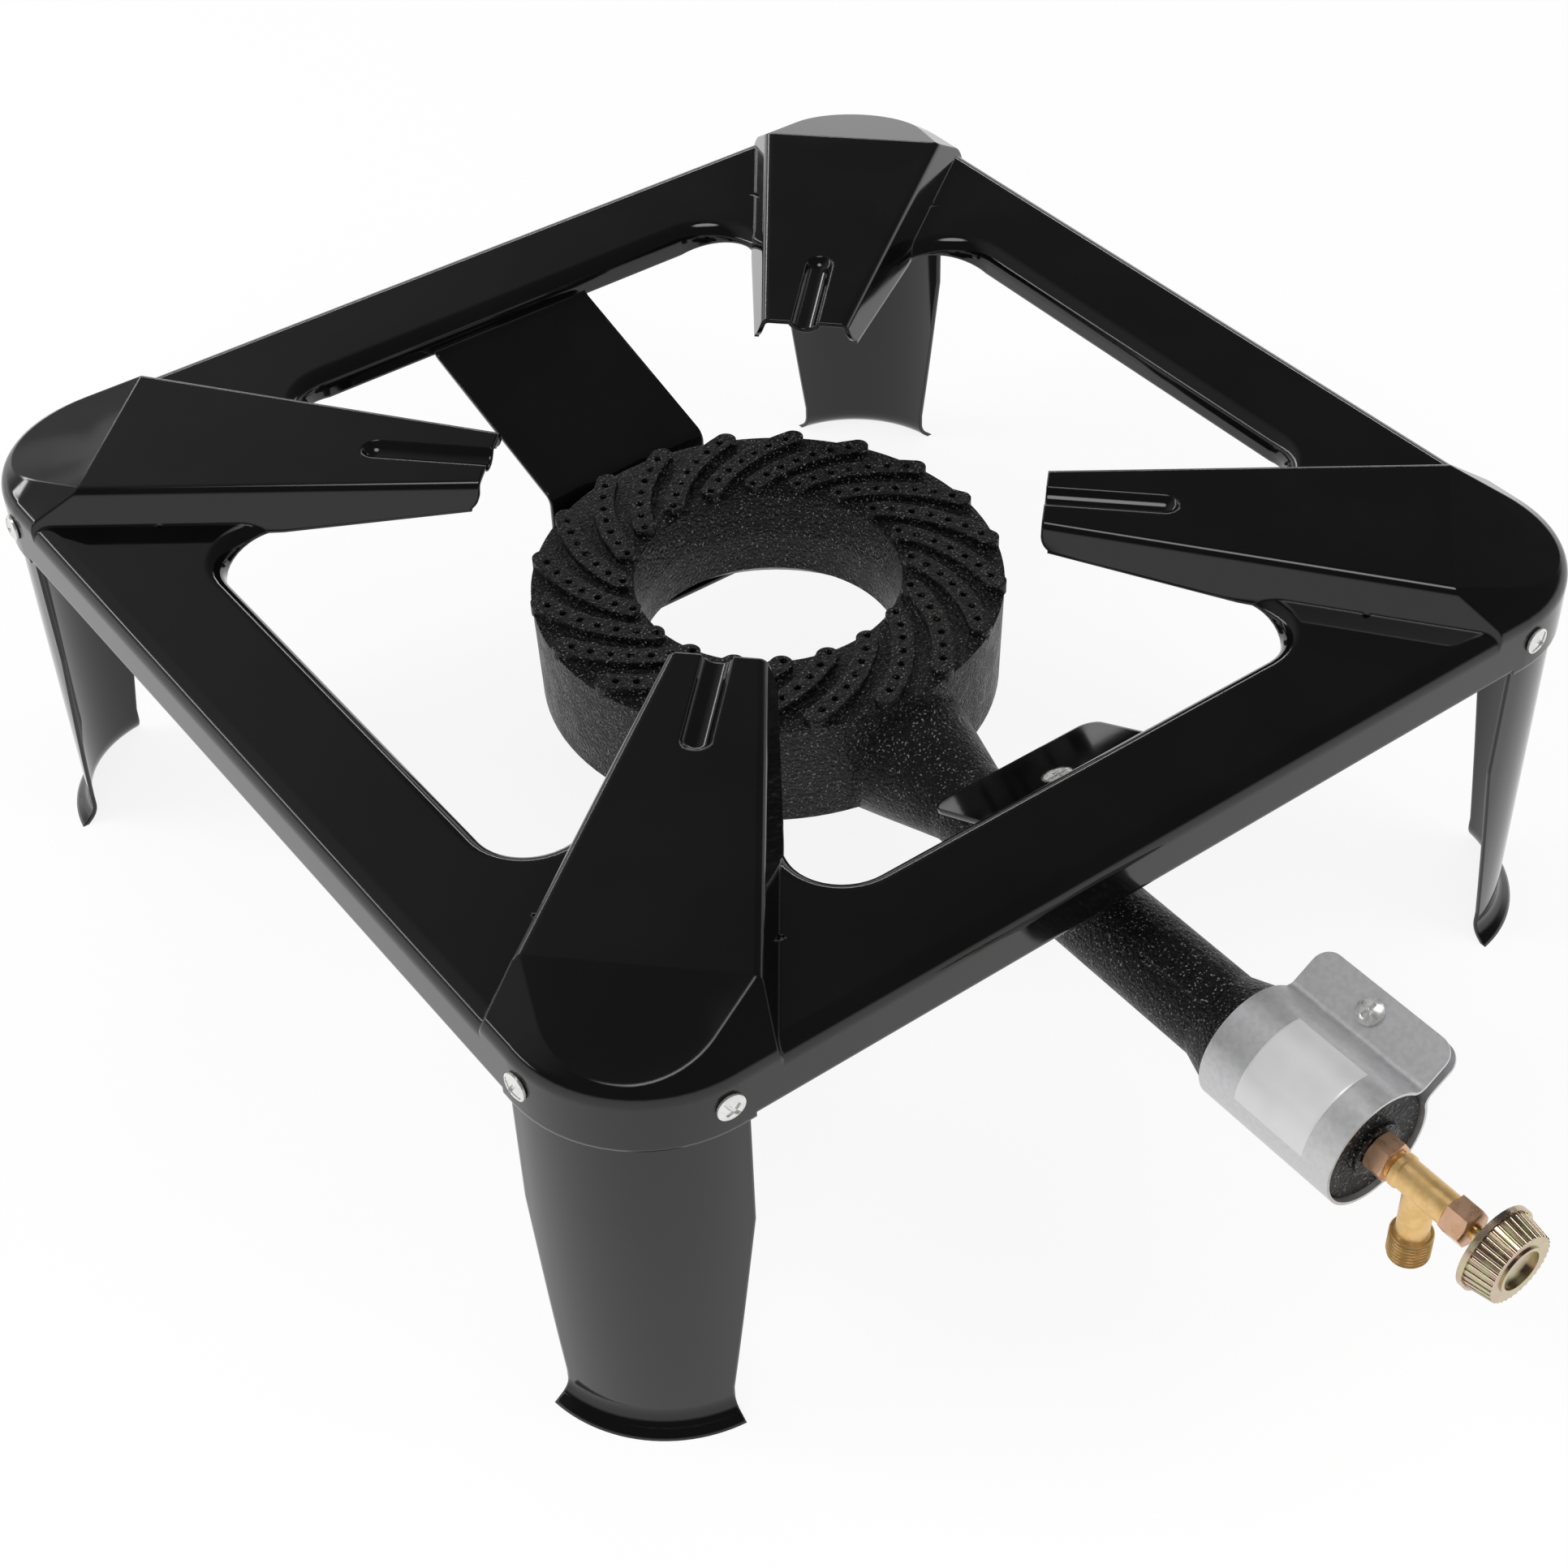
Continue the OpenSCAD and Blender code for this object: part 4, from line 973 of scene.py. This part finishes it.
@dataclass
class Screws:
    """The pan heads along the legs, the clamp screw and the sunk screw of the front bracket."""

    frame_half: float = 200.0
    corner: float = 45.0
    leg_screw_at: float = 158.5
    leg_screw_z: float = 140.3
    head_turns: Triple = (0.7, 1.9, 0.4)
    head: CrossHead = field(default_factory=lambda: CrossHead(4.5, 2.2, 9.0))
    sunk_head: CrossHead = field(default_factory=lambda: CrossHead(4.6, 0.0, 0.0, depth=1.2, sunk=2.1))
    shank: float = 2.5
    shank_gap: float = 0.01
    core_depth: float = 0.3
    leg_shank: float = 9.0
    clamp_shank: float = 13.0
    front_shank: float = 13.0
    pitch: float = 0.8
    depth_share: float = 0.55
    shank_steps: int = 32
    shank_rows: int = 6
    nut_flats: float = 8.0
    nut_height: float = 4.0
    nut_gap: float = 0.05
    nut_seat: float = -7.5
    clamp_angle: float = 33.0
    clamp_radius: float = 29.0
    clamp_at: float = 265.0
    clamp_side: Triple = (-0.25, -1.0, 0.0)
    clamp_seat: float = 3.6
    front_slope: float = 25.8
    front_at: float = 150.627
    front_z: float = 136.057

    def leg_axes(self) -> list[Axis]:
        """Finds the eight leg screws on the skirt's corners.

        Returns:
            Their axes, pointing out of the skirt.
        """
        middle = self.frame_half - self.corner
        turn = math.asin((self.leg_screw_at - middle) / self.corner)
        up = Vector((0, 0, 1))
        by_x, by_y, by_swap = self.head_turns
        axes = []
        for sx in (-1, 1):
            for sy in (-1, 1):
                for swapped in (False, True):
                    out = Vector((math.cos(turn), math.sin(turn)))
                    if swapped:
                        out = Vector((out.y, out.x))
                    spot = Vector((middle, middle)) + out * self.corner
                    along = Vector((sx * out.x, sy * out.y, 0))
                    place = Vector((sx * spot.x, sy * spot.y + FRAME_Y, self.leg_screw_z))
                    tilt = by_x * sx + by_y * sy + by_swap * swapped
                    axes.append(Axis(place, along, along.cross(up) * math.cos(tilt) + up * math.sin(tilt)))
        return axes

    def clamp_axis(self) -> Axis:
        """Finds the clamp screw between the shutter's ears.

        Returns:
            Its axis, pointing out of the upper ear.
        """
        turn = math.radians(self.clamp_angle)
        reach = Vector((math.cos(turn), 0, math.sin(turn))) * self.clamp_radius
        along = Vector((-math.sin(turn), 0, math.cos(turn)))
        side = Vector(self.clamp_side).normalized()
        side = (side - along * side.dot(along)).normalized()
        return Axis(Vector((0, FRAME_Y - self.clamp_at, AXIS_Z)) + reach, along, side)

    def front_axis(self) -> Axis:
        """Finds the screw in the front bracket.

        Returns:
            Its axis, pointing out of the bracket.
        """
        slope = math.radians(self.front_slope)
        place = Vector((0.0, FRAME_Y - self.front_at, self.front_z))
        return Axis(place, Vector((0, math.sin(slope), math.cos(slope))), Vector((1, 0, 0)))

    def shank_to(self, form: MeshForm, axis: Axis, length: float) -> None:
        """Adds a threaded shank below the seat.

        Args:
            form: The form that takes it.
            axis: From the seat outwards.
            length: The shank's length.
        """
        Thread(
            axis, self.shank, -length, -self.shank_gap, self.pitch, self.depth_share,
            steps=self.shank_steps, rows_per_turn=self.shank_rows,
        ).add_to(form)
        form.cap([axis.point(self.shank - self.core_depth, a, -length) for a in turns(self.shank_steps)])

    def nut(self, name: str, axis: Axis) -> MeshForm:
        """Returns a nut that starts where an axis does."""
        return HexNut(name, axis, self.nut_flats, self.nut_height, self.shank + self.nut_gap).form()

    def build(self) -> None:
        """Makes every screw and nut that is drawn anew."""
        legs = MeshForm("leg_screw_heads")
        for axis in self.leg_axes():
            self.head.add_to(legs, axis)
            self.shank_to(legs, axis, self.leg_shank)
        self.carry(legs, "leg_screws", "stand")
        for i, axis in enumerate(self.leg_axes()):
            self.carry(self.nut(f"leg_nut_{i}", axis.moved(self.nut_seat)), "leg_nuts", "stand")
        clamp = MeshForm("clamp_screw_head")
        seat = self.clamp_axis().moved(self.clamp_seat)
        self.head.add_to(clamp, seat)
        self.shank_to(clamp, seat, self.clamp_shank)
        self.carry(clamp, "shutter_screw", "shutter")
        below = self.clamp_axis().moved(-self.clamp_seat - self.nut_height)
        self.carry(self.nut("clamp_nut", below), "shutter_nut", "shutter")
        sunk = MeshForm("bracket_screw_head")
        self.sunk_head.add_to(sunk, self.front_axis())
        self.shank_to(sunk, self.front_axis(), self.front_shank)
        self.carry(sunk, "front_burner_screw", "stand")

    @staticmethod
    def carry(form: MeshForm, node: str, body: str) -> None:
        """Builds a form in zinc.

        Args:
            form: The piece's form.
            node: The CAD node that it replaces.
            body: The CAD body that it rides on.
        """
        piece = form.build(SCREW_ZINC, body)
        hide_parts(node)
        LOG.info("%s replaces %s", piece.name, node)


@dataclass
class Valve:
    """The needle valve's threaded brass body and its two nuts; places run forward from the burner's axis."""

    barrel_from: float = 279.0
    lock_at: float = 293.1
    lock_height: float = 6.9
    lock_flats: float = 12.0
    body_at: float = 301.6
    stem_at: float = 322.0
    stem_to: float = 328.5
    barrel: float = 4.7
    outlet_bore: float = 1.8
    chamber: float = 3.1
    collar: float = 5.6
    collar_length: float = 2.5
    body: float = 5.1
    stem: float = 4.4
    fine_pitch: float = 1.0
    inlet_at: float = 8.4
    inlet_neck: float = 5.0
    inlet_drop: float = 20.0
    inlet: float = 6.58
    inlet_length: float = 10.0
    inlet_pitch: float = 1.337
    inlet_bore: float = 3.5
    mouth_inset: float = 1.2
    mouth_chamfer: float = 0.3
    gland_flats: float = 11.2
    gland_height: float = 7.9
    gland_bore: float = 2.55
    gland_gap: float = 0.1
    nut_gap: float = 0.05
    nut_sharp: float = 50.0
    edge: float = 0.35

    def axis(self) -> Axis:
        """Returns the axis of burner and valve."""
        return Axis(Vector((0, FRAME_Y, AXIS_Z)), Vector((0, -1, 0)), Vector((1, 0, 0)))

    def inlet_axis(self) -> Axis:
        """Returns the axis of the inlet, pointing down."""
        place = Vector((0, FRAME_Y - self.body_at - self.inlet_at, AXIS_Z))
        return Axis(place, Vector((0, 0, -1)), Vector((1, 0, 0)))

    def body_to(self, form: MeshForm) -> None:
        """Adds the barrel, the body and the stem.

        Args:
            form: The form that takes them.
        """
        axis, e = self.axis(), self.edge
        collar_to = self.body_at + self.collar_length
        Thread(axis, self.barrel, self.barrel_from, self.body_at, self.fine_pitch).add_to(form)
        Turned(axis, [
            (self.outlet_bore, self.body_at), (self.collar - e, self.body_at),
            (self.collar, self.body_at + e), (self.collar, collar_to - e), (self.body, collar_to + e),
            (self.body, self.stem_at - e), (self.body - e, self.stem_at), (self.chamber, self.stem_at),
        ]).add_to(form)
        Thread(axis, self.stem, self.stem_at, self.stem_to, self.fine_pitch).add_to(form)

    def inlet_to(self, form: MeshForm) -> None:
        """Adds the inlet with its thread and bore.

        Args:
            form: The form that takes it.
        """
        down, e = self.inlet_axis(), self.edge
        end = self.inlet_drop + self.inlet_length
        thread_to = end - 2 * e
        mouth = self.inlet - self.mouth_inset
        Turned(down, [
            (self.inlet_neck, 0.0), (self.inlet_neck, self.inlet_drop - e),
            (self.inlet_neck + e, self.inlet_drop), (self.inlet - e, self.inlet_drop),
            (self.inlet, self.inlet_drop + e),
        ]).add_to(form)
        Thread(down, self.inlet, self.inlet_drop + e, thread_to, self.inlet_pitch).add_to(form)
        Turned(down, [
            (mouth, thread_to), (mouth - self.mouth_chamfer, end), (self.inlet_bore, end),
            (self.inlet_bore, self.body + e),
        ]).add_to(form)

    def build(self) -> None:
        """Makes the body and the nuts."""
        form = MeshForm("valve_casting")
        self.body_to(form)
        self.inlet_to(form)
        body = form.build(BODY_BRASS, "stand")
        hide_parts("valve_body")
        lock = HexNut(
            "lock_nut_chamfered", self.axis().moved(self.lock_at), self.lock_flats, self.lock_height,
            self.barrel + self.nut_gap,
        )
        gland = HexNut(
            "gland_nut_chamfered", self.axis().moved(self.stem_at + self.gland_gap), self.gland_flats,
            self.gland_height, self.gland_bore, both_faces=False,
        )
        for nut, node in ((lock, "lock_nut"), (gland, "gland_nut")):
            piece = nut.form().build(NUT_BRONZE, "stand", sharp=self.nut_sharp)
            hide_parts(node)
        LOG.info("valve body and its nuts replace three nodes")


@dataclass
class TubePatch:
    """A curved patch that lies on the tube or the band around it, its edge rounded down."""

    name: str
    radius: float
    rise: float
    start: float
    stop: float
    turn_from: float
    turn_to: float
    corner: float
    edge: float
    sink_share: float = 0.1
    rows: int = 60
    columns: int = 90

    def lift(self, u: float, v: float, long_half: float, wide_half: float) -> float:
        """Gives the patch's height at a point of its flat outline.

        Args:
            u: Distance from its middle along the axis.
            v: Distance from its middle around the axis.
            long_half: Half its length.
            wide_half: Half its width.

        Returns:
            The height over the carrying surface.
        """
        du = max(abs(u) - (long_half - self.corner), 0.0)
        dv = max(abs(v) - (wide_half - self.corner), 0.0)
        inset = self.corner - math.hypot(du, dv)
        share = min(max(inset / self.edge, 0.0), 1.0)
        return self.rise * share * share * (3 - 2 * share)

    def form(self, axis: Axis) -> MeshForm:
        """Draws the patch.

        Args:
            axis: The axis that it bends around.

        Returns:
            The mesh form.
        """
        low, high = math.radians(self.turn_from), math.radians(self.turn_to)
        wide_half = (high - low) / 2 * self.radius
        long_half = (self.stop - self.start) / 2
        base = self.radius - self.edge * self.sink_share
        rows = []
        for i in range(self.rows + 1):
            u = (2 * i / self.rows - 1) * long_half
            row = []
            for j in range(self.columns + 1):
                share = j / self.columns
                v = (2 * share - 1) * wide_half
                radius = base + self.lift(u, v, long_half, wide_half)
                row.append(axis.point(radius, low + (high - low) * share, self.start + long_half + u))
            rows.append(row)
        form = MeshForm(self.name)
        form.ring_rows(rows, closed=False)
        return form


@dataclass
class TubeDetails:
    """The raised panel cast on the tube and the bare plate on the shutter's band."""

    panel: TubePatch = field(
        default_factory=lambda: TubePatch("tube_panel", 15.0, 0.9, 199.0, 232.0, 72.0, 132.0, 6.0, 1.6)
    )
    plate: TubePatch = field(
        default_factory=lambda: TubePatch("bare_plate", 20.08, 0.12, 254.6, 282.3, 79.0, 176.0, 0.6, 0.2)
    )

    def build(self, axis: Axis) -> None:
        """Makes both.

        Args:
            axis: The axis of tube and band.
        """
        panel = self.panel.form(axis).build(CAST, "stand")
        plate = self.plate.form(axis).build(PLATE, "shutter")
        LOG.info("tube panel and bare plate added")


def main() -> None:
    """Builds the whole scene."""
    logging.basicConfig(level=logging.INFO)
    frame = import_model()
    PhotoView().build()
    Studio().build()
    CarriedNodes().dress(frame["nodes"])
    Screws().build()
    valve = Valve()
    valve.build()
    TubeDetails().build(valve.axis())


if __name__ == "__main__":
    main()
